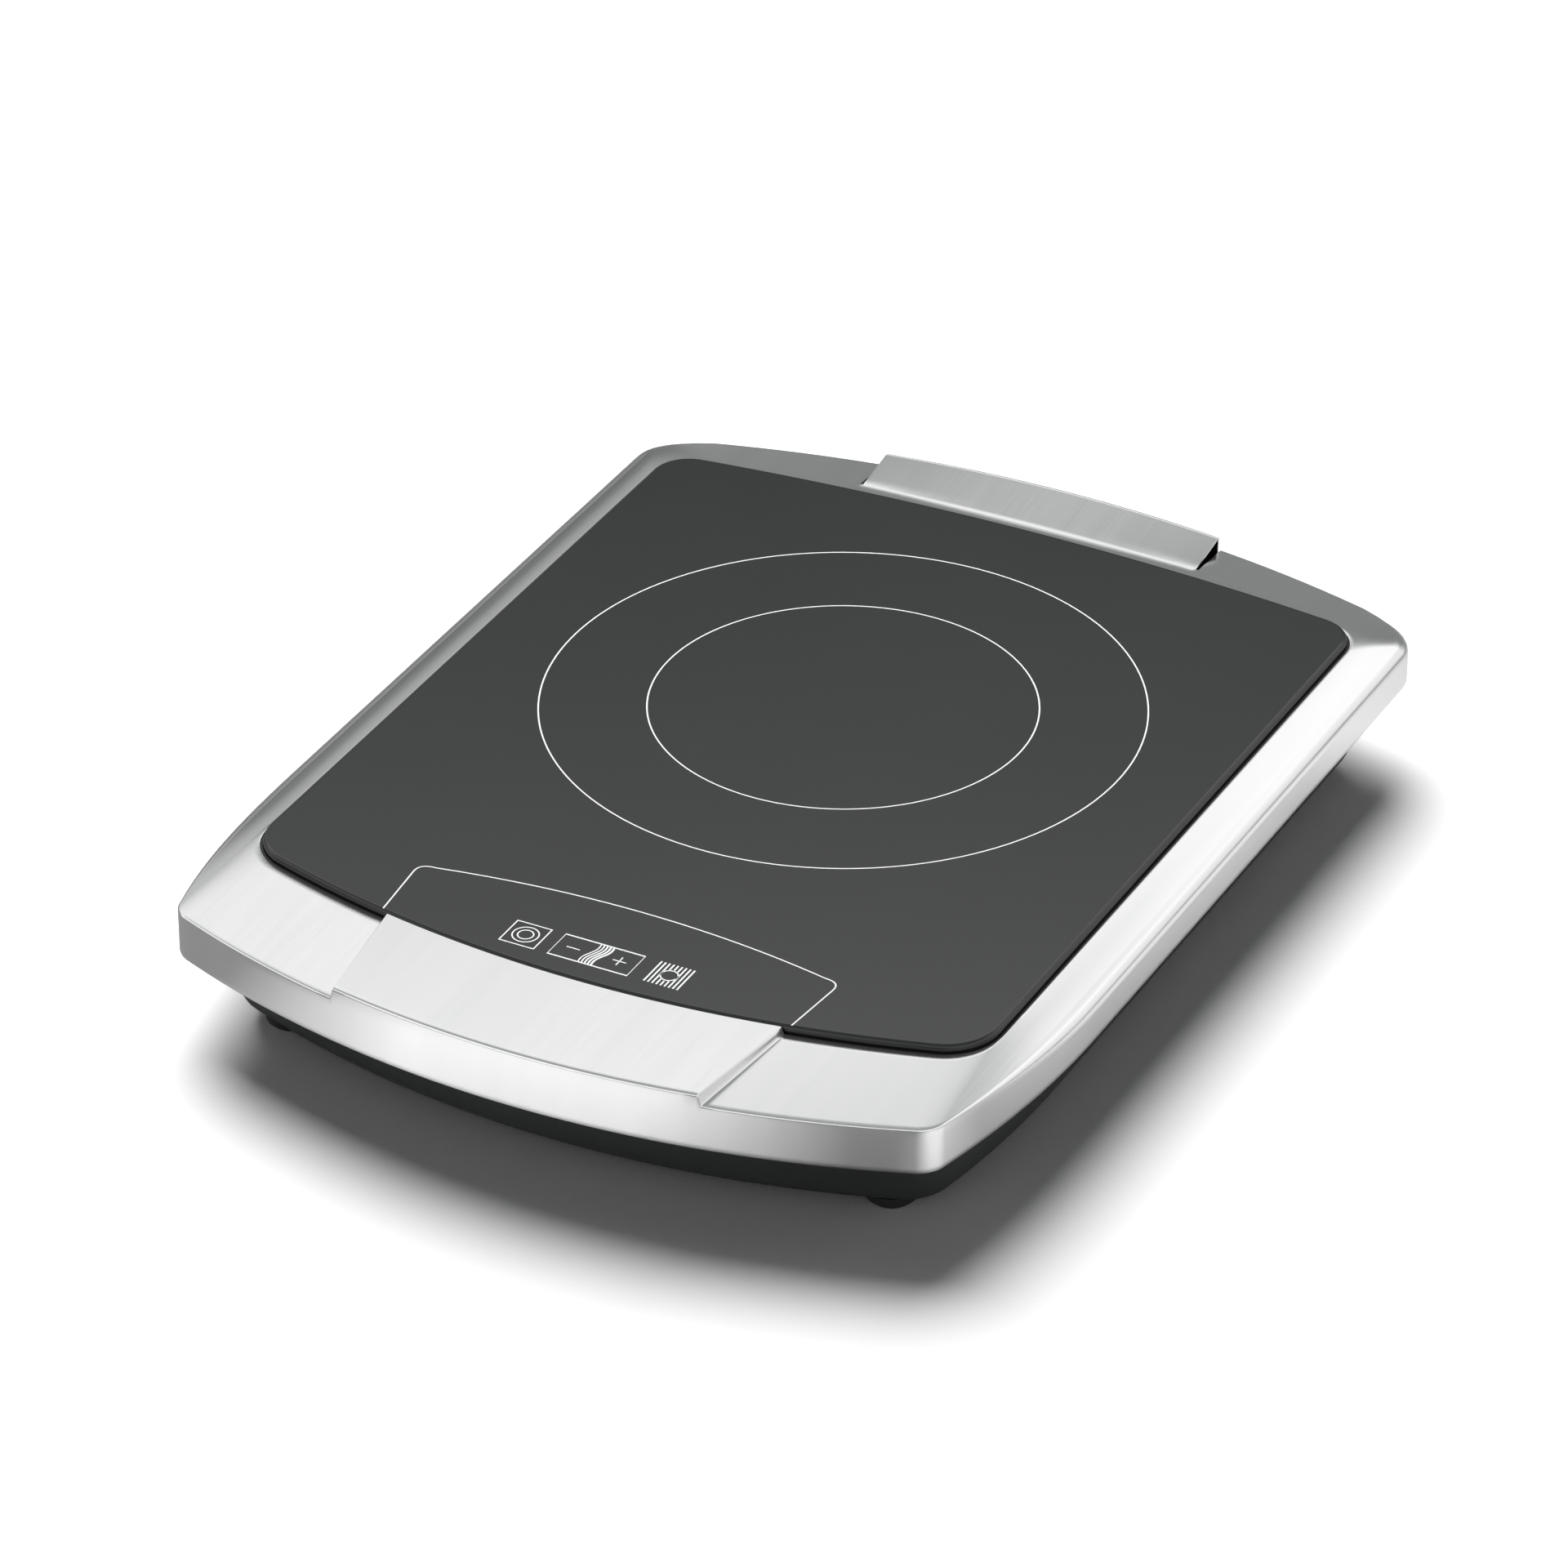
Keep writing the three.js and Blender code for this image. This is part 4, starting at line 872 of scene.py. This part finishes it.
shapes = []
for i in range(-4, 5):
    half = math.sqrt(GRILLE_RADIUS ** 2 - (i * GRILLE_PITCH) ** 2)
    for low, high in [(-half, -2), (2, half)]:
        shapes.append((floor_slot(FAN_X + low, FAN_X + high, FAN_Y + i * GRILLE_PITCH, 4), (0, 0, 1), 8))
gland_ring = [Vector(((GLAND_X + 6.6 * math.cos(a)) * MM, 178 * MM, (GLAND_Z + 6.6 * math.sin(a)) * MM))
              for a in [2 * math.pi * i / 28 for i in range(28)]]
shapes.append((gland_ring, (0, 1, 0), 30))
tool = cutter(shapes)
cut_out(base_tub, tool)
settle(base_tub)
sharpen(base_tub, 35)
print("tub triangles:", sum(len(p.vertices) - 2 for p in base_tub.data.polygons))

# %% [markdown]
# ## Feet, screws and gland
# These are turned shapes too. The rubber feet have grooves moulded underneath, the countersunk screws sit flush
# with the flange and have a cross recess, and the gland is a bush with a waist that snaps into the rear wall.

# %% Rubber feet
rubber = surface("rubber_black_moulded", "#1b1c1c", "#242525", 0.75, 0.5, 0.03)
foot_profile = [(0, 0.5), (2.2, 0.5), (2.5, 0), (3.9, 0), (4.2, 0.6), (4.9, 0.6), (5.2, 0), (6.9, 0), (7.4, 0.15),
                (7.7, 0.5), (9.0, 1.6), (9.3, 2.4), (9.6, 5.2), (0, 5.2)]
for node in ("foot_1", "foot_2", "foot_3", "foot_4"):
    low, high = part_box(node)
    bm = bmesh.new()
    turn(bm, foot_profile, ((low.x + high.x) / 2 / MM, (low.y + high.y) / 2 / MM, low.z / MM))
    foot = finish_piece(node + "_moulded", bm, rubber, stands_for=[node])
    sharpen(foot, 40)
print("foot height", round((high.z - low.z) / MM, 2), "mm")

# %% Countersunk screws with a cross recess
screw_zinc = surface("steel_zinc_plated", "#9da0a2", "#b9bcbd", 0.3, 0.4, 0.004, metallic=1.0, patch_mm=2.5)
screw_profile = [(0, 0), (3.0, 0), (3.2, 0.12), (3.1, 0.35), (1.75, 1.6), (1.6, 1.9)]
for i in range(5):
    screw_profile += [(1.25, 2.1 + i * 0.9), (1.6, 2.5 + i * 0.9), (1.6, 2.6 + i * 0.9)]
screw_profile += [(1.2, 6.9), (0, 7.5)]


def cross_path(x, y, z, half_length, half_width):
    l, w = half_length, half_width
    corners = [(l, -w), (l, w), (w, w), (w, l), (-w, l), (-w, w),
               (-l, w), (-l, -w), (-w, -w), (-w, -l), (w, -l), (w, -w)]
    return [Vector(((x + cx) * MM, (y + cy) * MM, z * MM)) for cx, cy in corners]


for i in range(1, 7):
    node = f"base_screw_{i}"
    low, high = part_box(node)
    x, y = (low.x + high.x) / 2 / MM, (low.y + high.y) / 2 / MM
    bm = bmesh.new()
    turn(bm, screw_profile, (x, y, SCREW_FACE), steps=24)
    screw = finish_piece(node + "_countersunk", bm, screw_zinc, stands_for=[node])
    tool = cutter([(cross_path(x, y, SCREW_FACE - 0.5, 1.7, 0.42), (0, 0, 1), 1.6)])
    cut_out(screw, tool)
    settle(screw)
    sharpen(screw, 30)

# %% Pan-head screws on the power board
pan_profile = [(0, -6), (0.7, -5.4), (1.4, -4.6), (1.4, 0), (3.1, 0), (3.25, 0.2), (3.2, 1.1), (2.7, 1.9),
               (1.6, 2.2), (0, 2.2)]
for i in range(1, 5):
    node = f"board_screw_{i}"
    low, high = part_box(node)
    x, y = (low.x + high.x) / 2 / MM, (low.y + high.y) / 2 / MM
    seat = high.z / MM - 2.2
    bm = bmesh.new()
    turn(bm, pan_profile, (x, y, seat), steps=24)
    screw = finish_piece(node + "_pan_head", bm, screw_zinc, stands_for=[node])
    tool = cutter([(cross_path(x, y, seat + 1.1, 1.6, 0.4), (0, 0, 1), 2)])
    cut_out(screw, tool)
    settle(screw)
    sharpen(screw, 30)
print("screws made:", 6 + 4)

# %% Gland for a mains lead
gland_low, gland_high = (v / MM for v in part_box("cable_gland"))
gland_centre = ((gland_low.x + gland_high.x) / 2, BOSS_REAR, (gland_low.z + gland_high.z) / 2)
BORE = 4.2
clip = gland_low.y - BOSS_REAR
gland_profile = [(BORE, clip + 0.4), (BORE + 0.4, clip), (7.0, clip), (7.4, clip + 0.3), (8.4, clip + 3.7),
                 (8.2, clip + 4), (6.2, clip + 4.1), (6.2, 0.3), (9.2, 0.3), (9.5, 0.6), (9.4, 1.9), (9.0, 2.3),
                 (7.2, 2.7), (6.9, 3.1), (6.8, 4.2), (6.2, 4.4), (6.2, 5.2), (6.7, 5.4), (6.6, 6.6), (6.1, 6.8),
                 (6.1, 7.4), (6.3, 7.6), (6.1, 8.3), (5.8, 8.5), (BORE + 0.4, 8.5), (BORE, 8.1), (BORE, clip + 0.4)]
bm = bmesh.new()
turn(bm, gland_profile, gland_centre, axis=(0, 1, 0))
gland = finish_piece("cable_gland_bush", bm, rubber, stands_for=["cable_gland"])
sharpen(gland, 40)
print("gland from y =", round(gland_low.y, 1), "to", round(gland_high.y, 1), "mm")

# %% [markdown]
# ## Under the glass
# The winding is stranded enamelled copper, laid in a flat spiral on the coil former. It is one round section drawn
# out along the spiral, with the same helper as the sheet and the tub. The touch springs and the sensor spring
# are the same thing along a helix.

# %% Round wire along a path


def wire(bm, path, radius, sides=8):
    """A round wire through points in millimetres, with closed ends."""
    loop = None
    for i, point in enumerate(path):
        along = (path[min(i + 1, len(path) - 1)] - path[max(i - 1, 0)]).normalized()
        across = along.cross(Vector((0, 0, 1)))
        across = across.normalized() if across.length > 1e-6 else Vector((1, 0, 0))
        over = across.cross(along)
        ring = [(point + radius * (math.cos(a) * across + math.sin(a) * over)) * MM
                for a in [2 * math.pi * k / sides for k in range(sides)]]
        if loop is None:
            loop = first_loop(bm, ring)
            bm.faces.new(loop)
        else:
            loop = draw_out(bm, loop, ring)
    bm.faces.new(loop)
    bmesh.ops.recalc_face_normals(bm, faces=bm.faces[:])


copper = surface("copper_enamelled_stranded", "#a2582c", "#c47a45", 0.35, 0.9, 0.12, metallic=1.0, patch_mm=4)
coil_low, coil_high = (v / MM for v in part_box("induction_coil"))
WIRE_RADIUS = (coil_high.z - coil_low.z) / 2 - 0.1
WIRE_PITCH = 2 * WIRE_RADIUS + 0.12
coil_mid = (coil_low + coil_high) / 2
COIL_INNER, COIL_OUTER = 24 + WIRE_RADIUS, (coil_high.x - coil_low.x) / 2 - WIRE_RADIUS
turns = (COIL_OUTER - COIL_INNER) / WIRE_PITCH
path = []
for i in range(int(turns * 56) + 1):
    angle = 2 * math.pi * i / 56
    r = COIL_INNER + WIRE_PITCH * i / 56
    path.append(Vector((coil_mid.x + r * math.cos(angle), coil_mid.y + r * math.sin(angle), coil_mid.z)))
bm = bmesh.new()
wire(bm, path, WIRE_RADIUS)
coil = finish_piece("induction_coil_spiral", bm, copper, stands_for=["induction_coil"])
print("coil turns:", round(turns, 1), "triangles:", 2 * len(coil.data.polygons))

# %% Springs
spring_steel = surface("spring_steel_drawn", "#8d9092", "#a9acae", 0.28, 0.3, 0.004, metallic=1.0, patch_mm=3)


def helix(x, y, radius, bottom, top, turns, steps=28):
    """A compression spring's path: its first and last turn lie flat, as on a ground spring."""
    path = []
    count = int(turns * steps)
    for i in range(count + 1):
        angle = 2 * math.pi * i / steps
        share = smooth(i / count, 0.06, 0.94)
        share = 0.35 * share + 0.65 * min(max((i / count - 0.12) / 0.76, 0), 1)
        path.append(Vector((x + radius * math.cos(angle), y + radius * math.sin(angle),
                            bottom + (top - bottom) * share)))
    return path


springs = [("touch_spring_1", 4.0, 0.4, 3.5), ("touch_spring_2", 4.0, 0.4, 3.5), ("touch_spring_3", 4.0, 0.4, 3.5),
           ("sensor_spring", 4.4, 0.45, 4.5)]
for node, radius, thick, turns in springs:
    low, high = (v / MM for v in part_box(node))
    x, y = (low.x + high.x) / 2, (low.y + high.y) / 2
    bm = bmesh.new()
    wire(bm, helix(x, y, radius, low.z + thick, high.z - thick, turns), thick)
    if node != "sensor_spring":
        finish_piece(node + "_wound", bm, spring_steel, stands_for=[node])
        continue
    sensor_spring = finish_piece(node + "_wound", bm, spring_steel, stands_for=[node])
    sensor_spring.parent = None
    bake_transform(sensor_spring)
print("springs wound:", len(springs))

# %% [markdown]
# ## Cooling fan
# The rotor is a moulded cup with seven blades. A blade is drawn out from the hub to its tip as a curved strip that
# flattens as it goes, because the tip moves faster than the root, and is then given its thickness.

# %% Fan rotor
rotor_low, rotor_high = (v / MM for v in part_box("fan_rotor"))
HUB_RADIUS, BLADE_TIP, BLADES = 18.0, 41.2, 7
rotor_x, rotor_y = (rotor_low.x + rotor_high.x) / 2, (rotor_low.y + rotor_high.y) / 2
fan_plastic = surface("fan_plastic_black_moulded", "#1d1e1f", "#262728", 0.4, 0.8, 0.01)


def blade_row(turned, radius):
    """Five points across a blade at one radius: the chord is pitched, cambered and swept."""
    share = (radius - HUB_RADIUS) / (BLADE_TIP - HUB_RADIUS)
    pitch = math.radians(46 - 16 * share)
    chord = 17 + 3 * share
    row = []
    for k in range(7):
        s = k / 6 - 0.5
        run = s * chord * math.cos(pitch) + 5 * share * share
        rise = s * chord * math.sin(pitch) + 1.5 * (0.25 - s * s) * 4
        angle = turned + run / radius
        row.append(Vector((rotor_x + radius * math.cos(angle), rotor_y + radius * math.sin(angle), 21.0 + rise)) * MM)
    return row


bm = bmesh.new()
for i in range(BLADES):
    turned = 2 * math.pi * i / BLADES
    loop = first_loop(bm, blade_row(turned, HUB_RADIUS - 0.6), closed=False)
    for k in range(1, 9):
        reach = HUB_RADIUS - 0.6 + (BLADE_TIP - HUB_RADIUS + 0.6) * k / 8
        loop = draw_out(bm, loop, blade_row(turned, reach), closed=False)
bmesh.ops.recalc_face_normals(bm, faces=bm.faces[:])
bmesh.ops.solidify(bm, geom=bm.faces[:], thickness=1.3 * MM)
hub_top, hub_bottom = rotor_high.z, 12.5
turn(bm, [(0, rotor_low.z), (1.6, rotor_low.z), (1.6, hub_top - 2), (16, hub_top - 2), (16, hub_bottom),
          (17.7, hub_bottom), (18, hub_bottom + 0.3), (18, hub_top - 1.6), (17.4, hub_top - 0.5), (16, hub_top),
          (7, hub_top), (6.6, hub_top - 0.3), (0, hub_top - 0.3)], (rotor_x, rotor_y, 0), steps=48)
rotor = finish_piece("fan_rotor_moulded", bm, fan_plastic, body="fan", stands_for=["fan_rotor"])
sharpen(rotor, 35)
print("rotor height", round(rotor_high.z - rotor_low.z, 1), "mm, blades:", BLADES)

# %% [markdown]
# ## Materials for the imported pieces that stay
# Most of the inner pieces are plain moulded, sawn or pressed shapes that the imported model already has. They keep
# their mesh and get their real material.

# %% Materials by slot
inner_materials = {
    "base_plastic": fan_plastic,
    "copper": copper,
    "white_plastic": surface("polyamide_white_moulded", "#d3cfc4", "#e2dfd6", 0.42, 0.9, 0.015),
    "circuit_board": surface("glass_epoxy_board_green", "#1d5733", "#2c6f45", 0.38, 0.7, 0.02, patch_mm=6),
    "heatsink_aluminium": surface("aluminium_extruded", "#aeb1b3", "#c4c6c8", 0.38, 0.5, 0.01, metallic=1.0,
                                  patch_mm=8, stretch=(1, 0.05, 1)),
    "shield_aluminium": surface("aluminium_rolled_sheet", "#b9bbbc", "#cdcfd0", 0.33, 0.4, 0.006, metallic=1.0,
                                patch_mm=10, stretch=(0.05, 1, 1)),
    "component_epoxy": surface("epoxy_black_moulded", "#191a1c", "#232427", 0.5, 0.5, 0.02, patch_mm=5),
    "capacitor_film": surface("polyester_case_red", "#9c3f26", "#b85235", 0.35, 0.6, 0.01, patch_mm=7),
    "ferrite": surface("ferrite_grey_sintered", "#313235", "#434448", 0.65, 0.35, 0.03, patch_mm=4),
    "mica": surface("mica_sheet_pressed", "#ab9a78", "#c8b994", 0.5, 1.6, 0.03, patch_mm=5),
    "sensor_ceramic": surface("alumina_white_sintered", "#dcd9cf", "#ebe8e0", 0.35, 0.4, 0.008, patch_mm=3),
    "fuse_glass": surface("glass_tube_clear_drawn", "#b4bfbf", "#cdd6d6", 0.1, 2.0, 0.002, patch_mm=5),
    "brown_wire": surface("pvc_brown_extruded", "#5f3d29", "#754d35", 0.45, 0.5, 0.01, patch_mm=4),
    "blue_wire": surface("pvc_blue_extruded", "#24508a", "#3364a3", 0.45, 0.5, 0.01, patch_mm=4),
    "red_sleeve": surface("glass_fibre_sleeve_red_braided", "#93281f", "#b63b31", 0.6, 0.6, 0.12, patch_mm=2),
    "grey_ribbon": surface("pvc_ribbon_grey", "#8b8d8f", "#a4a6a8", 0.5, 1.3, 0.05, patch_mm=6,
                           stretch=(1, 0.05, 0.05)),
}
slot_of_node = {}
for entry in frame["record"]["subparts"]:
    slot_of_node[entry["node"]] = entry["material_slot"]
dressed = 0
for name, node in frame["nodes"].items():
    material = inner_materials.get(slot_of_node.get(name))
    if not node.hide_render and material:
        node.data.materials.clear()
        node.data.materials.append(material)
        dressed += 1
shown_nodes = sum(not node.hide_render for node in frame["nodes"].values())
print("packed pieces with their own material:", dressed, "of", shown_nodes)

# %% [markdown]
# ## Floor and light
# The cooktop stands on a white table in a white studio. Steel and glass show what is around them, so the studio
# matters more than the lamps: it is bright overhead, greyer low behind the object, and bright again towards the
# front. The world gives that by height and direction, with white and dark cards in it. Grey and white papers on the
# table show in reflections only. One large soft panel, above and behind on the left, adds the shadow.

# %% White table
# Steel that reflects nothing but a white table looks like white plastic, so a studio lays grey and white paper
# round a metal object. Here only reflected rays see the paper: it is grey, with a white sheet in front and lighter
# ones on the right. Each has a middle, the two distances between which it fades, and a shade.
PAPERS = [((-0.03, -0.3, 0), 0.07, 0.17, 1.0), ((0.3, 0.12, 0), 0.1, 0.35, 0.78), ((0.26, -0.2, 0), 0.05, 0.12, 0.95)]
PAPER_GREY = 0.24
STUDIO_WHITE = 0.98
FADE_FROM, FADE_TO = 0.7, 2.0   # metres from the middle, where the table turns into the studio's white
TABLE_REACH = 12                # metres


def table_material():
    material, tree = bare_material("table_white_laminate")
    place = add_node(tree, "ShaderNodeTexCoord")
    grain = add_node(tree, "ShaderNodeTexNoise", {"Scale": 1000 / 2, "Detail": 3.0}, {"Vector": (place, "Object")})
    relief = add_node(tree, "ShaderNodeBump", {"Strength": 1.0, "Distance": 0.01 * MM}, {"Height": (grain, "Fac")})
    paper = None
    for middle, near, far, shade in PAPERS:
        away = add_node(tree, "ShaderNodeVectorMath", {"operation": "DISTANCE", 1: middle}, {0: (place, "Object")})
        sheet = add_node(tree, "ShaderNodeMapRange", {"From Min": near, "From Max": far, "To Min": shade,
                                                      "To Max": PAPER_GREY}, {"Value": (away, "Value")})
        paper = sheet if paper is None else add_node(tree, "ShaderNodeMath", {"operation": "MAXIMUM"},
                                                     {0: (paper, 0), 1: (sheet, 0)})
    ray = add_node(tree, "ShaderNodeLightPath")
    colour = add_node(tree, "ShaderNodeMix", {"data_type": "RGBA", 6: linear("#f8f8f8")},
                      {0: (ray, "Is Glossy Ray"), 7: (paper, 0)})
    shader = add_node(tree, "ShaderNodeBsdfPrincipled", {"Roughness": 0.85, "Specular IOR Level": 0.1},
                      {"Base Color": (colour, 2), "Normal": (relief, 0)})
    # The table fades into the white of the studio, so that low views have no grey horizon.
    from_middle = add_node(tree, "ShaderNodeVectorMath", {"operation": "LENGTH"}, {0: (place, "Object")})
    far_off = add_node(tree, "ShaderNodeMapRange", {"From Min": FADE_FROM, "From Max": FADE_TO},
                       {"Value": (from_middle, "Value")})
    fade = add_node(tree, "ShaderNodeMath", {"operation": "MULTIPLY"}, {0: (far_off, 0), 1: (ray, "Is Camera Ray")})
    white = add_node(tree, "ShaderNodeEmission", {"Color": (STUDIO_WHITE, STUDIO_WHITE, STUDIO_WHITE, 1)})
    shown = add_node(tree, "ShaderNodeMixShader", links={0: (fade, 0), 1: (shader, 0), 2: (white, 0)})
    add_node(tree, "ShaderNodeOutputMaterial", links={"Surface": (shown, 0)})
    return material


table_mat = table_material()
bm = bmesh.new()
bmesh.ops.create_grid(bm, x_segments=2, y_segments=2, size=TABLE_REACH)
mesh = bpy.data.meshes.new("table")
bm.to_mesh(mesh)
bm.free()
mesh.materials.append(table_mat)
table = bpy.data.objects.new("table", mesh)
bpy.context.scene.collection.objects.link(table)
table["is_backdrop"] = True

# %% Studio
# Each list gives the brightness of the studio by height, from the horizon (0) to overhead (1).
AROUND = [(0.0, 0.9), (0.15, 1.1), (0.3, 1.15), (0.45, 1.2), (0.6, 1.5), (0.68, 1.3), (0.76, 0.5), (0.9, 0.45),
          (1.0, 0.5)]
BEHIND = [(0.0, 0.4), (0.2, 0.32), (0.42, 0.27), (0.49, 0.36), (0.54, 0.85), (0.57, 1.5), (0.6, 1.65),
          (0.635, 1.5), (0.675, 0.42), (0.85, 0.35), (1.0, 0.7)]
LEFT = [(0.0, 0.08), (0.15, 0.18), (0.3, 0.6), (0.42, 1.1), (0.6, 1.4), (0.7, 0.5), (1.0, 0.5)]
# White and dark cards stand round the table: the direction of each, how wide it is, and its brightness.
CARDS = [((-0.45, -0.89, 0), 0.9, 0.97, 1.8), ((-0.85, -0.53, 0), 0.93, 0.98, 0.3),
         ((0.3, -0.95, 0), 0.95, 0.985, 0.06), ((0.86, -0.5, 0), 0.93, 0.98, 1.6)]
# Dull surfaces get only this share of the studio's brightness, which keeps the shadow deep.
DIFFUSE_LEVEL = 0.045
world = bpy.data.worlds.new("white_studio")
bpy.context.scene.world = world
world.use_nodes = True
tree = world.node_tree
tree.nodes.clear()
sky = add_node(tree, "ShaderNodeTexCoord")
height = add_node(tree, "ShaderNodeSeparateXYZ", links={"Vector": (sky, "Generated")})


def sky_ramp(levels):
    ramp = add_node(tree, "ShaderNodeValToRGB", links={"Fac": (height, "Z")})
    for position, level in levels[1:-1]:
        ramp.color_ramp.elements.new(position)
    for element, (position, level) in zip(ramp.color_ramp.elements, levels):
        element.position = position
        element.color = (level * 0.96, level, level, 1) if level < 0.55 else (level, level, level, 1)
    return ramp


def towards(direction, low, high):
    """How far a direction of view lies towards the given one: 0 below low, 1 above high."""
    dot = add_node(tree, "ShaderNodeVectorMath", {"operation": "DOT_PRODUCT", 1: direction}, {0: (sky, "Generated")})
    return add_node(tree, "ShaderNodeMapRange", {"From Min": low, "From Max": high}, {"Value": (dot, "Value")})


behind = add_node(tree, "ShaderNodeMix", {"data_type": "RGBA"},
                  {0: (towards((-0.5, 0.866, 0), 0.5, 0.75), 0), 6: (sky_ramp(AROUND), 0), 7: (sky_ramp(BEHIND), 0)})
glow = add_node(tree, "ShaderNodeMix", {"data_type": "RGBA"},
                {0: (towards((-0.87, 0.5, 0), 0.78, 0.92), 0), 6: (behind, 2), 7: (sky_ramp(LEFT), 0)})
for direction, low, high, shade in CARDS:
    glow = add_node(tree, "ShaderNodeMix", {"data_type": "RGBA", 7: (shade, shade, shade, 1)},
                    {0: (towards(direction, low, high), 0), 6: (glow, 2)})
ray = add_node(tree, "ShaderNodeLightPath")
level = add_node(tree, "ShaderNodeMapRange", {"To Min": 1.0, "To Max": DIFFUSE_LEVEL},
                 {"Value": (ray, "Is Diffuse Ray")})
reflected = add_node(tree, "ShaderNodeBackground", links={"Color": (glow, 2), "Strength": (level, 0)})
plain = add_node(tree, "ShaderNodeBackground", {"Color": (STUDIO_WHITE, STUDIO_WHITE, STUDIO_WHITE, 1)})
seen = add_node(tree, "ShaderNodeMixShader", links={0: (ray, "Is Camera Ray"), 1: (reflected, 0), 2: (plain, 0)})
add_node(tree, "ShaderNodeOutputWorld", links={"Surface": (seen, 0)})


def soft_panel(name, place, aim, size, power):
    panel = bpy.data.lights.new(name, "AREA")
    panel.shape = "DISK"
    panel.size = size
    panel.energy = power
    lamp = bpy.data.objects.new(name, panel)
    lamp.location = place
    lamp.rotation_euler = (Vector(aim) - Vector(place)).to_track_quat("-Z", "Y").to_euler()
    lamp.visible_glossy = False
    bpy.context.scene.collection.objects.link(lamp)


PANEL_PLACE, PANEL_WIDTH, PANEL_POWER = (-1.0, 1.1, 2.2), 2.5, 146   # metres, metres, watts
soft_panel("panel_above", PANEL_PLACE, (0, 0, 0), PANEL_WIDTH, PANEL_POWER)
bpy.context.scene.view_settings.view_transform = "Standard"

# %% Sizes and table
low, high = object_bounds()
